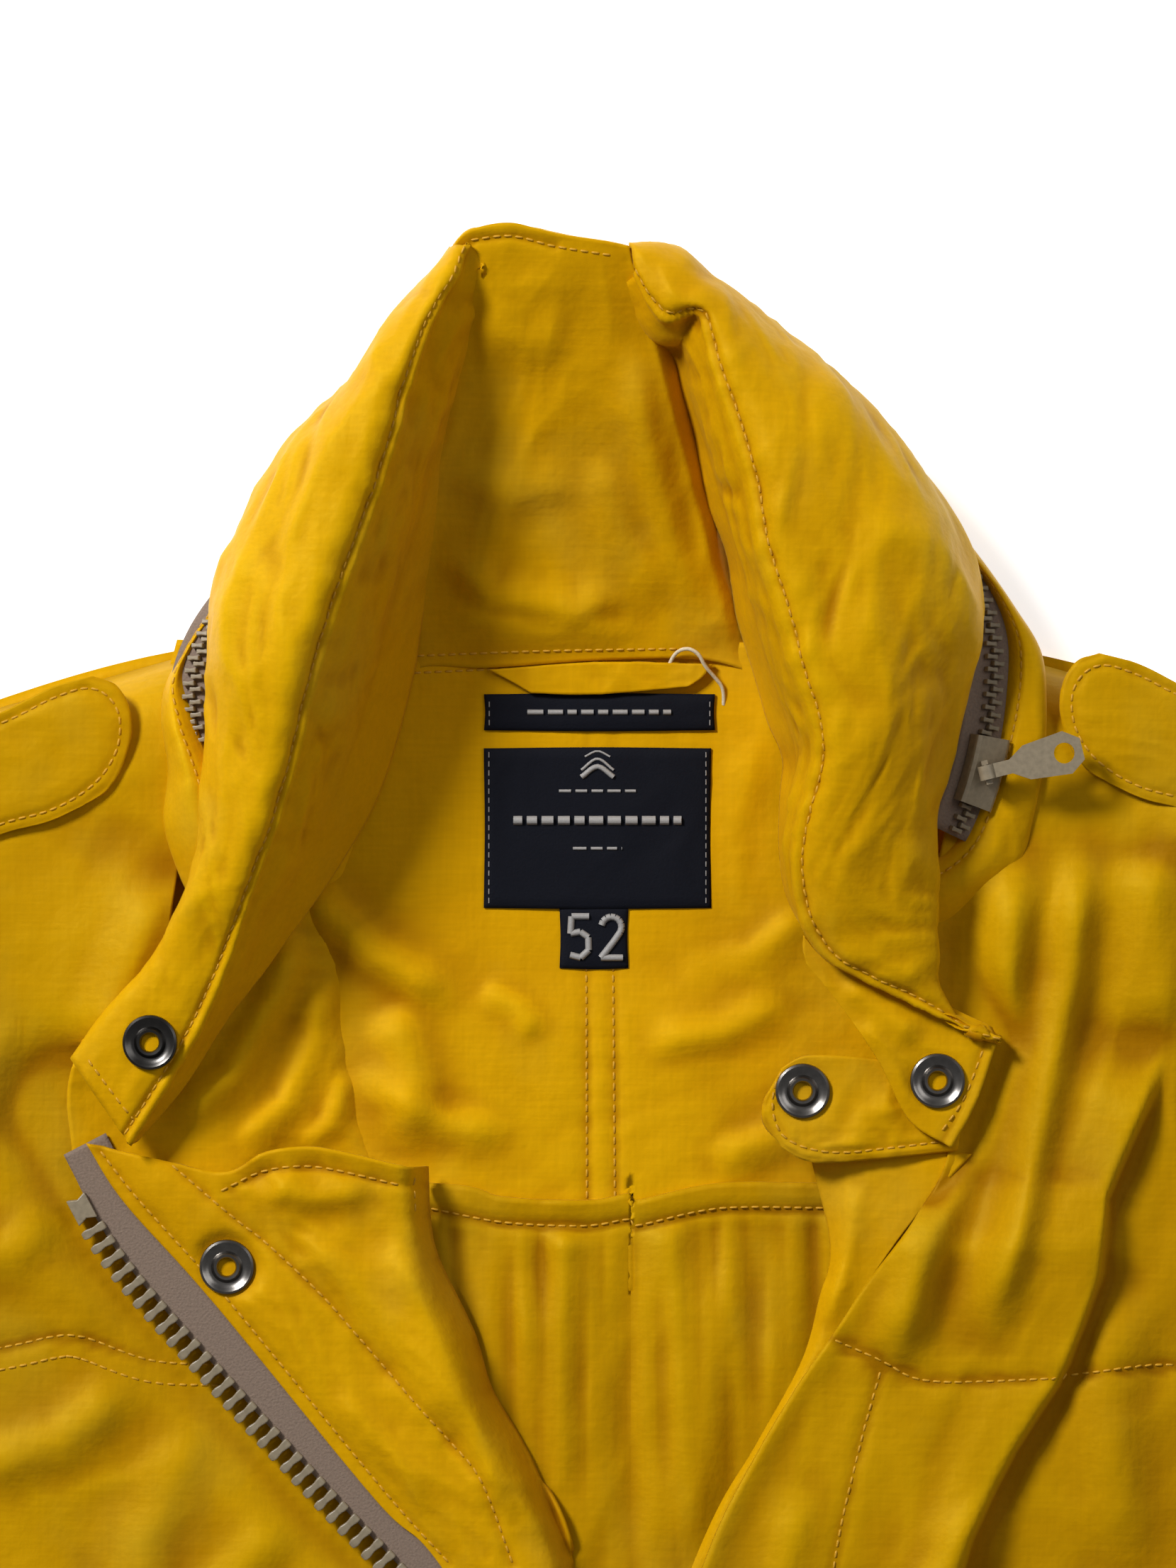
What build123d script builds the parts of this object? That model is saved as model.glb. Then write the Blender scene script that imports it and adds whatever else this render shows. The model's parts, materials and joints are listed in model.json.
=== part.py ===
"""A yellow field coat lying open on its back: hip-length shell, stand collar with a hood packed
behind a zip, two-way turned-back fronts, four patch pockets, shoulder straps and set-in sleeves.

Frame: millimetres, +Z up off the surface the coat lies on, +Y towards the collar, +X to the
wearer's left. Everything is laid out from the middle of the back neck seam and moved at the end,
so that the origin is the bottom centre of the whole coat.
"""

import math
import os

from build123d import *

# ---------------------------------------------------------------- driving dimensions
BACK_NECK_Y = 328.2  # the back neck seam lies this far above the origin
HEM_Y = -778.0  # hem, from the back neck seam
SHOULDER_NECK = (120.0, 2.0)  # where the shoulder seam meets the collar
SHOULDER_TIP = (236.0, -34.0)
UNDERARM = (288.0, -262.0)
HEM_CORNER = (302.0, HEM_Y)
ARMHOLE_PIVOT = (337.0, -131.0)  # the sleeve swings about this point
ARMHOLE_RADIUS = 140.0
V_BOTTOM_Y = -310.0  # the fronts come together here
ZIP_END_Y = -745.0
SLIDER_Y = -335.0

CLOTH = 2.0  # shell cloth and its lining, as one plate
LINING = 1.5
FRONT_Z = 16.0  # underside of the fronts: the room for the wearer, pressed flat
FRONT_TOP = FRONT_Z + CLOTH
LAPEL_Z = FRONT_TOP + 1.0
LAPEL_TOP = LAPEL_Z + 2.5
SEAM_WALL = 3.0

SLEEVE_ANGLE = 20.0  # from straight down, outwards
SLEEVE_END = 545.0  # from the pivot to where the cuff is sewn on
SLEEVE_THICK = 24.0
SLEEVE_WALL = 2.0
CUFF_LENGTH = 62.0
CUFF_HALF = 64.0

MAIN_PITCH = 4.8  # moulded teeth, one side of the chain
MAIN_TOOTH = (5.6, 1.9, 3.4)  # across the chain, along it, and high
HOOD_PITCH = 3.6
HOOD_TOOTH = (3.4, 1.4, 2.0)
TAPE_THICK = 0.8
TAPE_WIDTH = 9.0

NECK = (-2.0, -2.0)  # the hood zip turns about this point on the wearer's left
HOOD_TAPE_IN = (106.0, 30.0)  # distance from there, and height, of the tape's upper edge
HOOD_TAPE_OUT = (121.0, 21.0)
HOOD_START = -25.0  # where the tape begins, in degrees
HOOD_ROUND = 15.0  # it is round up to here

SNAP_R = 7.5  # the ring snaps: flange, neck, bore and post
SNAP_NECK = 3.4
SOCKET_R = 2.6
STUD_R = 2.5

os.makedirs("parts", exist_ok=True)


# ---------------------------------------------------------------- helpers
def mirror_x(points):
    """The same outline on the other side of the coat, in the same turning sense."""
    return [(-x, y) for x, y in reversed(points)]


def plate(points, low, high):
    """A flat piece of cloth cut to an outline."""
    face = make_face(Polyline(*points, close=True))
    solid = extrude(face, amount=high - low, dir=(0, 0, 1))
    return solid.moved(Location((0, 0, low)))


def arc_points(centre, radius, start, end, steps):
    """Points on an arc, from one angle to another, in degrees."""
    turns = [math.radians(start + (end - start) * i / steps) for i in range(steps + 1)]
    return [(centre[0] + radius * math.cos(t), centre[1] + radius * math.sin(t)) for t in turns]


def angle_from(centre, point):
    """The direction of a point seen from a centre, in degrees."""
    return math.degrees(math.atan2(point[1] - centre[1], point[0] - centre[0]))


def along(a, b, share):
    """The point that far from a to b."""
    return tuple(p + (q - p) * share for p, q in zip(a, b))


def skin(sections):
    """A closed solid through sections with the same number of points, split on short diagonals."""
    count = len(sections[0])
    triangles = []
    for near, far in zip(sections, sections[1:]):
        for i in range(count):
            j = (i + 1) % count
            if math.dist(near[i], far[j]) < math.dist(near[j], far[i]):
                triangles += [(near[i], near[j], far[j]), (near[i], far[j], far[i])]
            else:
                triangles += [(near[i], near[j], far[i]), (near[j], far[j], far[i])]
    for end in (sections[0], sections[-1]):
        triangles += [(end[0], end[i], end[i + 1]) for i in range(1, count - 1)]
    faces = [Face(Wire.make_polygon([Vector(*p) for p in t], close=True)) for t in triangles]
    solid = Solid(Shell(faces))
    return solid if solid.volume > 0 else Solid(Shell([-f for f in faces]))


def save(name, *solids):
    """Writes one named node, moved to the coat's own origin."""
    placed = [s.moved(Location((0, BACK_NECK_Y, 0))) for s in solids]
    export_step(placed[0] if len(placed) == 1 else Compound(children=placed), f"parts/{name}.step")


# ---------------------------------------------------------------- body panels
def armhole(outer):
    """The armhole's edge from underarm to shoulder tip, on the wearer's left."""
    radius = ARMHOLE_RADIUS + outer
    start = angle_from(ARMHOLE_PIVOT, UNDERARM)
    end = angle_from(ARMHOLE_PIVOT, SHOULDER_TIP)
    return arc_points(ARMHOLE_PIVOT, radius, start % 360, end % 360, 12)


def back_panel():
    """The outer back, one piece from hem to neck, lying on the surface."""
    left = [(0.0, HEM_Y), HEM_CORNER] + armhole(1.0) + [SHOULDER_NECK, (58.0, 0.0)]
    right = mirror_x(left)
    return plate(left + right[:-1], 0.0, CLOTH)


YOKE_EDGE_Y = -156.0


def back_yoke_lining():
    """The inside of the shoulders, down to a hem that the lower lining hangs from."""
    half = [(0.0, YOKE_EDGE_Y), (178.0, YOKE_EDGE_Y), (186.0, -70.0), (112.0, -2.0), (58.0, -3.0)]
    return plate(half + mirror_x(half)[:-1], CLOTH, CLOTH + LINING)


def back_lining():
    """The loose lower lining, with a doubled hem along its top."""
    top = YOKE_EDGE_Y - 1.0
    half = [(0.0, HEM_Y + 20), (284.0, HEM_Y + 20), (276.0, -300.0), (178.0, -220.0), (174.0, top)]
    sheet = plate(half + mirror_x(half)[:-1], CLOTH, CLOTH + LINING)
    hem = plate([(-80, top), (80, top), (80, top - 14), (-80, top - 14)],
                CLOTH + LINING, CLOTH + LINING + 1.5)
    return sheet + hem


# The opened fronts, from the collar down the V to where the zip closes.
RIGHT_ROLL = [(-112.0, -86.0), (-76.0, -138.0), (-50.0, -157.0), (-34.0, -193.0), (-20.0, -225.0),
              (-9.0, -256.0), (-5.0, V_BOTTOM_Y)]
LEFT_ROLL = [(84.0, -118.0), (66.0, -150.0), (65.0, -172.0), (54.0, -211.0), (40.0, -237.0),
             (22.0, -270.0), (5.0, V_BOTTOM_Y)]
ZIP_GAP = 8.0  # from the coat's middle to the cloth beside the closed zip


def front(roll, side):
    """One front: its top sheet, and the seams that carry it down to the back."""
    turn = [(side * x, y) for x, y in ([SHOULDER_NECK, SHOULDER_TIP] + armhole(1.0)[::-1][1:]
                                       + [HEM_CORNER])]
    edge = [(side * ZIP_GAP, HEM_Y), (side * ZIP_GAP, V_BOTTOM_Y)]
    inset = [(x + side * SEAM_WALL, y) for x, y in reversed(roll[:-1])]
    sheet = plate(turn + edge + inset, FRONT_Z, FRONT_TOP)
    side_seam = [(side * x, y) for x, y in (UNDERARM, HEM_CORNER)]
    inner = [(x - side * SEAM_WALL, y) for x, y in reversed(side_seam)]
    tip = along(SHOULDER_NECK, SHOULDER_TIP, 0.95)
    shoulder = [(side * x, y) for x, y in (SHOULDER_NECK, tip)]
    under = [(x, y - SEAM_WALL) for x, y in reversed(shoulder)]
    walls = [plate(side_seam + inner, CLOTH, FRONT_Z), plate(shoulder + under, CLOTH, FRONT_Z)]
    return sheet + walls


# The front edges, where the zip tapes are sewn.
RIGHT_EDGE = [(-143.0, -136.0), (-128.0, -163.0), (-97.0, -199.0), (-67.0, -232.0),
              (-40.0, -262.0), (-10.0, V_BOTTOM_Y)]
LEFT_EDGE = [(118.0, -150.0), (100.0, -190.0), (84.0, -222.0), (60.0, -256.0), (34.0, -284.0),
             (10.0, V_BOTTOM_Y)]


def lapel(roll, edge, side):
    """The front edge turned back over the front, with the roll that joins them."""
    facing = plate(roll + edge[::-1], LAPEL_Z, LAPEL_TOP)
    inner = [(x + side * SEAM_WALL, y) for x, y in roll]
    return facing + plate(roll + inner[::-1], FRONT_Z, LAPEL_Z)


LAPEL_SNAP = (-105.0, -172.0)


def drum(x, y, radius, low, high):
    """An upright cylinder."""
    return Cylinder(radius, high - low).moved(Location((x, y, (low + high) / 2)))


def socket(x, y, under, top):
    """A ring snap set through cloth that lies between two heights, with its bore open on top."""
    ring = drum(x, y, SNAP_R, top, top + 1.4) + drum(x, y, SNAP_NECK, under, top)
    return ring - drum(x, y, SOCKET_R, under - 1, top + 2)


def stud(x, y, under, reach=2.2):
    """The post that a ring snap closes on."""
    return drum(x, y, SNAP_R - 1, under, under + 1) + drum(x, y, STUD_R, under + 1, under + 1 + reach)


save("back_panel", back_panel())
save("back_yoke_lining", back_yoke_lining())
save("back_lining", back_lining())
save("lapel_right", lapel(RIGHT_ROLL, RIGHT_EDGE, -1) - drum(*LAPEL_SNAP, SNAP_NECK, LAPEL_Z, LAPEL_TOP))
save("lapel_left", lapel(LEFT_ROLL, LEFT_EDGE, 1))

# ---------------------------------------------------------------- storm flap
FLAP_HINGE_X = 42.0
FLAP_LOW = 26.0
FLAP_TOP = 28.0
FLAP_EDGE = [(18.0, -320.0), (14.0, -385.0), (-24.0, -470.0), (-24.0, -770.0)]
FLAP_SNAPS = [(-15.5, y) for y in (-500.0, -620.0, -740.0)]
SNAP_PAD = 4.5  # the pad of cloth that brings a stud up to its flap
HINGE_GAP = 0.3


def storm_flap():
    """The strip that covers the closed zip, free along its edge."""
    outline = FLAP_EDGE + [(FLAP_HINGE_X, -770.0), (FLAP_HINGE_X, -320.0)]
    flap = plate(outline, FLAP_LOW, FLAP_TOP)
    for x, y in FLAP_SNAPS:
        flap -= drum(x, y, SNAP_NECK, FLAP_LOW, FLAP_TOP)
    return flap


def front_left_with_welt():
    """The left front, with the welt that the storm flap turns on."""
    x = FLAP_HINGE_X
    welt = plate([(x - 1, -770), (x + 3, -770), (x + 3, -320), (x - 1, -320)],
                 FRONT_TOP, FLAP_LOW - HINGE_GAP)
    return front(LEFT_ROLL, 1) + welt


def front_right_with_pads():
    """The right front, with a small stitched pad under each storm flap stud."""
    sheet = front(RIGHT_ROLL, -1)
    for x, y in FLAP_SNAPS:
        sheet += drum(x, y, SNAP_R - 1, FRONT_TOP, FRONT_TOP + SNAP_PAD)
    return sheet


save("front_right", front_right_with_pads())
save("front_left", front_left_with_welt())
save("storm_flap", storm_flap())
save("storm_flap_snaps", *[socket(x, y, FLAP_LOW, FLAP_TOP) for x, y in FLAP_SNAPS])


# The rounded top of the storm flap, turned inner side up beside the collar.
TAB_SNAP = (58.0, -122.0)
TAB_LOW = 22.5
TAB_TOP = 24.5


def storm_flap_tab():
    """The tab that crosses the throat when the collar is closed."""
    outline = [(52, -112), (47, -119), (46, -129), (52, -139), (64, -143), (102, -139), (102, -119)]
    return plate(outline, TAB_LOW, TAB_TOP) - drum(*TAB_SNAP, SNAP_NECK, TAB_LOW, TAB_TOP)


save("storm_flap_tab", storm_flap_tab())


# ---------------------------------------------------------------- collar
COLLAR_CLOTH = 1.6
COLLAR_FOOT_Z = 4.0
ROLL_GAP = 3.0  # between the packed hood and the cloth round it
# Each line: foot on the neck seam, edge of the stand with its height, and where the hood zip begins.
COLLAR_BACK = [
    ((-66, -45), (-88, -42, 48), (-107, -43)),
    ((-56, -18), (-81, -19, 54), (-111, -15)),
    ((-53, -3), (-76, 5, 56), (-107, 10)),
    ((-49, -2), (-67, 28, 56), (-96, 30)),
    ((-44, -2), (-58, 56, 54), (-83, 50)),
    ((-38, -2), (-50, 86, 50), (-68, 70)),
    ((-30, -1), (-42, 110, 46), (-50, 86)),
    ((-15, -1), (-24, 119, 44), (-27, 97)),
    ((0, 0), (5, 113, 43), (3, 98)),
    ((14, 0), (24, 100, 45), (28, 92)),
    ((24, 0), (36, 70, 50), (56, 74)),
    ((32, -1), (43, 40, 54), (83, 50)),
]
# The same where the zip is round, with the zip's place as an angle.
COLLAR_ROUND = [
    ((38, -3), (50, 14, 56), HOOD_ROUND),
    ((46, -8), (55, -6, 56), -1.0),
    ((54, -20), (62, -24, 54), -14.0),
    ((56, -38), (60, -44, 48), HOOD_START),
]
ROUND_STEPS = 4


def neck_point(angle, reach, height):
    """A point at an angle and distance from the neck's middle."""
    turn = math.radians(angle)
    return (NECK[0] + reach * math.cos(turn), NECK[1] + reach * math.sin(turn), height)


def collar_lines():
    """Every cut through the stand, closer together where the zip is round."""
    lines = list(COLLAR_BACK)
    for near, far in zip(COLLAR_ROUND, COLLAR_ROUND[1:]):
        for i in range(ROUND_STEPS + (far is COLLAR_ROUND[-1])):
            foot, edge = (along(p, q, i / ROUND_STEPS) for p, q in zip(near[:2], far[:2]))
            angle = near[2] + (far[2] - near[2]) * i / ROUND_STEPS
            lines.append((foot, edge, neck_point(angle, HOOD_TAPE_IN[0], 0)[:2]))
    return lines


def collar_line(foot, edge, zip_edge):
    """The four lines of one cut through the stand: its inner cloth, outer cloth, band and hood."""
    out = Vector(zip_edge[0] - NECK[0], zip_edge[1] - NECK[1], 0).normalized()
    low = Vector(*foot, COLLAR_FOOT_Z)
    high = Vector(*edge)
    far = Vector(*zip_edge, HOOD_TAPE_IN[1])
    across = (far - high) + (far - low) * 0.4
    across = Vector(across.X, across.Y, 0).normalized()
    thick = across * COLLAR_CLOTH
    down = Vector(0, 0, -COLLAR_CLOTH - 0.4)
    inner = [low, high, high + thick, low + thick]
    outer = [high + thick, far, far + down, high + thick + down]
    width = HOOD_TAPE_OUT[0] - HOOD_TAPE_IN[0]
    rim = far + out * width + Vector(0, 0, HOOD_TAPE_OUT[1] - HOOD_TAPE_IN[1])
    base = 18.4 if zip_edge[1] < 27 else 0.5
    drop = Vector((rim + out * 2).X, (rim + out * 2).Y, base)
    sunk = rim + Vector(0, 0, -TAPE_THICK)
    wall = out * COLLAR_CLOTH
    band = [sunk, drop, drop - wall, sunk - wall + Vector(0, 0, -1.4)]
    shoulder = low + (high - low) * 0.72
    roll = [low + thick + across * ROLL_GAP, shoulder + thick + across * ROLL_GAP,
            far + down * 2 - out * ROLL_GAP, far - out * ROLL_GAP + Vector(0, 0, low.Z + 1 - far.Z)]
    return [[tuple(p) for p in ring] for ring in (inner, outer, band, roll)]


collar_cuts = [collar_line(*line) for line in collar_lines()]
save("collar_inner", skin([cut[0] for cut in collar_cuts]))
save("collar_outer", skin([cut[1] for cut in collar_cuts]), skin([cut[2] for cut in collar_cuts]))
save("hood_roll", skin([cut[3] for cut in collar_cuts]))

# The wings of the collar, folded down over the fronts.
WING_LOW = 25.0
WING_TOP = 28.0
WING_RIGHT = [(-92, -50), (-97, -66), (-104, -86), (-111, -103), (-132, -136), (-148, -113),
              (-139, -101), (-120, -80), (-118, -51)]
WING_LEFT = [(57, -50), (56, -69), (63, -85), (79, -113), (87, -130), (100, -138), (113, -107),
             (96, -78), (90, -52)]
WING_STUD = (-126.0, -108.0)
WING_SOCKET = (96.0, -119.0)
wing_left = plate(WING_LEFT, WING_LOW, WING_TOP)
save("collar_wing_right", plate(WING_RIGHT, WING_LOW, WING_TOP))
save("collar_wing_left", wing_left - drum(*WING_SOCKET, SNAP_NECK, WING_LOW, WING_TOP))


# ---------------------------------------------------------------- hood zip
CHAIN_SHARE = 0.5  # the chain runs down the middle of the tape


def hood_edges():
    """The tape's upper and lower edges, from the wearer's left end round the neck."""
    upper = [cut[1][1] for cut in reversed(collar_cuts)]
    lower = [tuple(Vector(*cut[2][0]) + Vector(0, 0, TAPE_THICK)) for cut in reversed(collar_cuts)]
    return upper, lower


def hood_tape():
    """The sloping band of tape between the roll and the collar's foot."""
    upper, lower = hood_edges()
    rings = []
    for a, b in zip(upper, lower):
        sink = (0, 0, -TAPE_THICK)
        rings.append([a, b, tuple(p + q for p, q in zip(b, sink)), tuple(p + q for p, q in zip(a, sink))])
    return skin(rings)


def hood_teeth():
    """Two rows of moulded teeth along the tape, one row between the other's."""
    upper, lower = hood_edges()
    middle = [Vector(*along(a, b, CHAIN_SHARE)) for a, b in zip(upper, lower)]
    across = [(Vector(*b) - Vector(*a)).normalized() for a, b in zip(upper, lower)]
    teeth = []
    spare = 0.0
    side = 1
    for i in range(len(middle) - 1):
        step = middle[i + 1] - middle[i]
        while spare < step.length:
            share = spare / step.length
            across_here = (across[i] * (1 - share) + across[i + 1] * share).normalized()
            lift = step.normalized().cross(across_here).normalized()
            lift = lift if lift.Z > 0 else lift * -1
            rise = HOOD_TOOTH[2] / 2 + 0.15
            spot = middle[i] + step * share + lift * rise + across_here * (side * 1.1)
            place = Plane(origin=spot, x_dir=across_here, z_dir=lift)
            teeth.append(Box(*HOOD_TOOTH).moved(place.location))
            spare += HOOD_PITCH / 2
            side = -side
        spare -= step.length
    return teeth


save("hood_zip_tape", hood_tape())
save("hood_zip_teeth", *hood_teeth())


def bridge(origin, heading, half=3.4):
    """A slider's bridge: two posts and the bar that the pull swings on. Its bar is at the origin."""
    bar = Cylinder(0.9, 2 * half).rotate(Axis.X, 90)
    posts = [Box(1.8, 1.2, 4.6).moved(Location((0, side * (half - 0.6), -1.4))) for side in (-1, 1)]
    return (bar + posts[0] + posts[1]).moved(Location(origin) * Location((0, 0, 0), (0, 0, heading)))


def pull(origin, heading, length, width):
    """A pull: an eye round the bar, a neck, and a blade with a drop-shaped hole."""
    eye = Cylinder(2.3, 4.0).rotate(Axis.X, 90)
    neck_and_blade = extrude(make_face(Polyline(
        (1.0, -2.0), (7.0, -2.0), (length * 0.42, -width * 0.4), (length - width * 0.35, -width / 2),
        (length, -width * 0.25), (length, width * 0.25), (length - width * 0.35, width / 2),
        (length * 0.42, width * 0.4), (7.0, 2.0), (1.0, 2.0), close=True)), amount=1.8)
    blade = neck_and_blade.moved(Location((0, 0, -0.9))) + eye
    blade -= Cylinder(1.25, 6.0).rotate(Axis.X, 90)
    blade -= Cylinder(width * 0.24, 6.0).moved(Location((length - width * 0.42, 0, 0)))
    return blade.moved(Location(origin) * Location((0, 0, 0), (0, 0, heading)))


HOOD_SLIDER_AT = -15.0
HOOD_SLIDER_SPAN = 10.0
HOOD_PULL_HEADING = 14.0


def hood_slider():
    """The slider's upper shell, bent to the tape's curve, over a channel that clears the teeth."""
    mid = along(HOOD_TAPE_IN, HOOD_TAPE_OUT, CHAIN_SHARE)
    slope = math.degrees(math.atan2(HOOD_TAPE_OUT[1] - HOOD_TAPE_IN[1], HOOD_TAPE_OUT[0] - HOOD_TAPE_IN[0]))
    profile = [(-5.4, 0.4), (-3.6, 0.4), (-3.6, 3.0), (3.6, 3.0), (3.6, 0.4), (5.4, 0.4), (5.4, 4.4),
               (4.4, 5.0), (-4.4, 5.0), (-5.4, 4.4)]
    face = make_face(Polyline(*[(x, 0, z) for x, z in profile], close=True))
    face = face.moved(Location((mid[0], 0, mid[1]), (0, -slope, 0)))
    shell = revolve(face, Axis.Z, HOOD_SLIDER_SPAN)
    shell = shell.rotate(Axis.Z, HOOD_SLIDER_AT - HOOD_SLIDER_SPAN / 2)
    return shell.moved(Location((*NECK, 0)))


hood_bar = neck_point(HOOD_SLIDER_AT, 115.6, 33.3)
save("hood_slider", hood_slider() + bridge(hood_bar, HOOD_PULL_HEADING))
save("hood_pull", pull(hood_bar, HOOD_PULL_HEADING, 27.6, 12.3))


# ---------------------------------------------------------------- main zip
CHAIN_Z = (FRONT_Z + FRONT_TOP) / 2
LAPEL_TAPE_Z = LAPEL_Z + 0.8


def off_the_cloth(step, side):
    """The way off the cloth, square to a step down its front edge."""
    step = step.normalized()
    return Vector(-side * step.Y, side * step.X, 0)


def edge_normals(path, side):
    """At each point of an edge, the way off the cloth."""
    found = []
    for i in range(len(path)):
        a, b = path[max(i - 1, 0)], path[min(i + 1, len(path) - 1)]
        found.append(off_the_cloth(Vector(b[0] - a[0], b[1] - a[1], 0), side))
    return found


def zip_half(edge, side):
    """One tape of the main zip, and its row of teeth: along the open edge, then closed."""
    normals = edge_normals(edge, side)
    rim = [(p[0] + n.X * TAPE_WIDTH, p[1] + n.Y * TAPE_WIDTH) for p, n in zip(edge, normals)]
    rim[-1] = (edge[-1][0] + normals[-1].X, edge[-1][1] + normals[-1].Y)
    tapes = [plate(edge + rim[::-1], LAPEL_TAPE_Z, LAPEL_TAPE_Z + TAPE_THICK)]
    closed = [(side * ZIP_GAP, V_BOTTOM_Y), (side * ZIP_GAP, ZIP_END_Y), (side * 3.6, ZIP_END_Y),
              (side * 3.6, V_BOTTOM_Y)]
    tapes.append(plate(closed, CHAIN_Z - TAPE_THICK / 2, CHAIN_Z + TAPE_THICK / 2))
    teeth = []
    tooth = Box(*MAIN_TOOTH)
    reach = TAPE_WIDTH + MAIN_TOOTH[0] / 2
    for i in range(len(edge) - 2):
        a, b = Vector(*edge[i], 0), Vector(*edge[i + 1], 0)
        step = b - a
        out = off_the_cloth(step, side)
        first = 4 if i == 0 else 0
        count = int(step.length / MAIN_PITCH)
        for k in range(first, count):
            spot = a + step * ((k + 0.5) / count) + out * reach
            turn = math.degrees(math.atan2(out.Y, out.X))
            teeth.append(tooth.moved(Location((spot.X, spot.Y, LAPEL_TAPE_Z + 0.4), (0, 0, turn))))
    start = V_BOTTOM_Y - 6 - (0 if side < 0 else MAIN_PITCH / 2)
    count = int((start - ZIP_END_Y - 12) / MAIN_PITCH)
    for k in range(count):
        teeth.append(tooth.moved(Location((side * 0.8, start - k * MAIN_PITCH, CHAIN_Z))))
    stop = Vector(*edge[0], 0) + (Vector(*edge[1], 0) - Vector(*edge[0], 0)).normalized() * 14
    out = normals[0]
    turn = math.degrees(math.atan2(out.Y, out.X))
    stop_at = stop + out * reach
    teeth.append(Box(5.6, 8.0, 4.0).moved(Location((stop_at.X, stop_at.Y, LAPEL_TAPE_Z + 0.6), (0, 0, turn))))
    return tapes, teeth


for name, edge, side in (("right", RIGHT_EDGE, -1), ("left", LEFT_EDGE, 1)):
    tapes, teeth = zip_half(edge, side)
    save(f"main_tape_{name}", *tapes)
    save(f"main_teeth_{name}", *teeth)


def main_slider():
    """Two plates with a channel between them, and the bridge."""
    top_z = CHAIN_Z + MAIN_TOOTH[2] / 2 + 0.3
    low_z = CHAIN_Z - MAIN_TOOTH[2] / 2 - 0.3
    outline = [(-7.5, 11), (-4, 13), (4, 13), (7.5, 11), (6.6, -8), (4, -12), (-4, -12), (-6.6, -8)]
    shape = [(x, SLIDER_Y + y) for x, y in outline]
    pieces = [plate(shape, top_z, top_z + 1.6), plate(shape, low_z - 1.4, low_z)]
    for side in (-1, 1):
        cheek = [(side * 5.2, SLIDER_Y + 9), (side * 6.6, SLIDER_Y + 9), (side * 6.2, SLIDER_Y - 8),
                 (side * 5.2, SLIDER_Y - 8)]
        pieces[0] += plate(cheek, CHAIN_Z + 0.8, top_z)
        pieces[1] += plate(cheek, low_z, CHAIN_Z - 0.8)
    return pieces, top_z + 1.6


slider_plates, slider_top = main_slider()
MAIN_BAR = (0.0, SLIDER_Y - 2.0, slider_top + 2.6)
save("main_slider", slider_plates[0] + bridge(MAIN_BAR, -90), slider_plates[1])
save("main_pull", pull(MAIN_BAR, -90, 40.0, 13.0))
save("main_zip_box", plate([(-6.5, ZIP_END_Y - 12), (6.5, ZIP_END_Y - 12), (6.5, ZIP_END_Y),
                            (-6.5, ZIP_END_Y)], CHAIN_Z - 2.6, CHAIN_Z + 2.6))


# ---------------------------------------------------------------- pockets
POCKET_DEEP = 8.0
POCKET_WALL = 2.0
FLAP_GAP = 14.0  # from the mouth up to the flap's seam
POCKET_FLAP_Z = FRONT_TOP + POCKET_DEEP + POCKET_WALL + 0.5
POCKETS = {"chest": (95.0, 230.0, -290.0, -445.0, 59.0), "hip": (90.0, 240.0, -540.0, -720.0, 66.0)}


def pocket_bag(left, right, mouth, bottom):
    """A patch pocket with a bellows on three sides, open at the mouth, and the welt of its flap."""
    top = FRONT_TOP + POCKET_DEEP
    cut = 12.0
    outline = [(left, mouth), (left, bottom + cut), (left + cut, bottom), (right - cut, bottom),
               (right, bottom + cut), (right, mouth)]
    w = POCKET_WALL
    inside = [(left + w, mouth + 1), (left + w, bottom + cut), (left + cut, bottom + w),
              (right - cut, bottom + w), (right - w, bottom + cut), (right - w, mouth + 1)]
    bag = plate(outline, FRONT_TOP, top + w) - plate(inside, FRONT_TOP, top)
    seam = mouth + FLAP_GAP
    welt = plate([(left, seam - 1), (right, seam - 1), (right, seam + 3), (left, seam + 3)],
                 FRONT_TOP, POCKET_FLAP_Z - HINGE_GAP)
    return [bag, welt]


def pocket_flap(left, right, mouth, drop):
    """A pointed flap that turns on its seam above the mouth."""
    seam = mouth + FLAP_GAP
    low = seam - drop
    mid = (left + right) / 2
    outline = [(left - 2, seam), (left - 2, low + 14), (mid, low), (right + 2, low + 14), (right + 2, seam)]
    return plate(outline, POCKET_FLAP_Z, POCKET_FLAP_Z + CLOTH)


pocket_studs = []
for kind, (left, right, mouth, bottom, drop) in POCKETS.items():
    for name, side in (("left", 1), ("right", -1)):
        a, b = sorted((side * left, side * right))
        snap = ((a + b) / 2, mouth + FLAP_GAP - drop + 16)
        flap = pocket_flap(a, b, mouth, drop)
        save(f"{kind}_pocket_{name}", *pocket_bag(a, b, mouth, bottom))
        save(f"{kind}_flap_{name}", flap - drum(*snap, SNAP_NECK, POCKET_FLAP_Z, POCKET_FLAP_Z + CLOTH))
        save(f"{kind}_flap_snap_{name}", socket(*snap, POCKET_FLAP_Z, POCKET_FLAP_Z + CLOTH))
        low = FRONT_TOP + POCKET_DEEP + POCKET_WALL
        pocket_studs.append(drum(*snap, STUD_R, low, low + 2.6))


# ---------------------------------------------------------------- shoulder straps
STRAP_Z = FRONT_TOP + 1.6
STRAP_TIP = (132.0, -19.0)
STRAP_SEAM = (212.0, -44.0)
STRAP_HALF = 21.0


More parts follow.
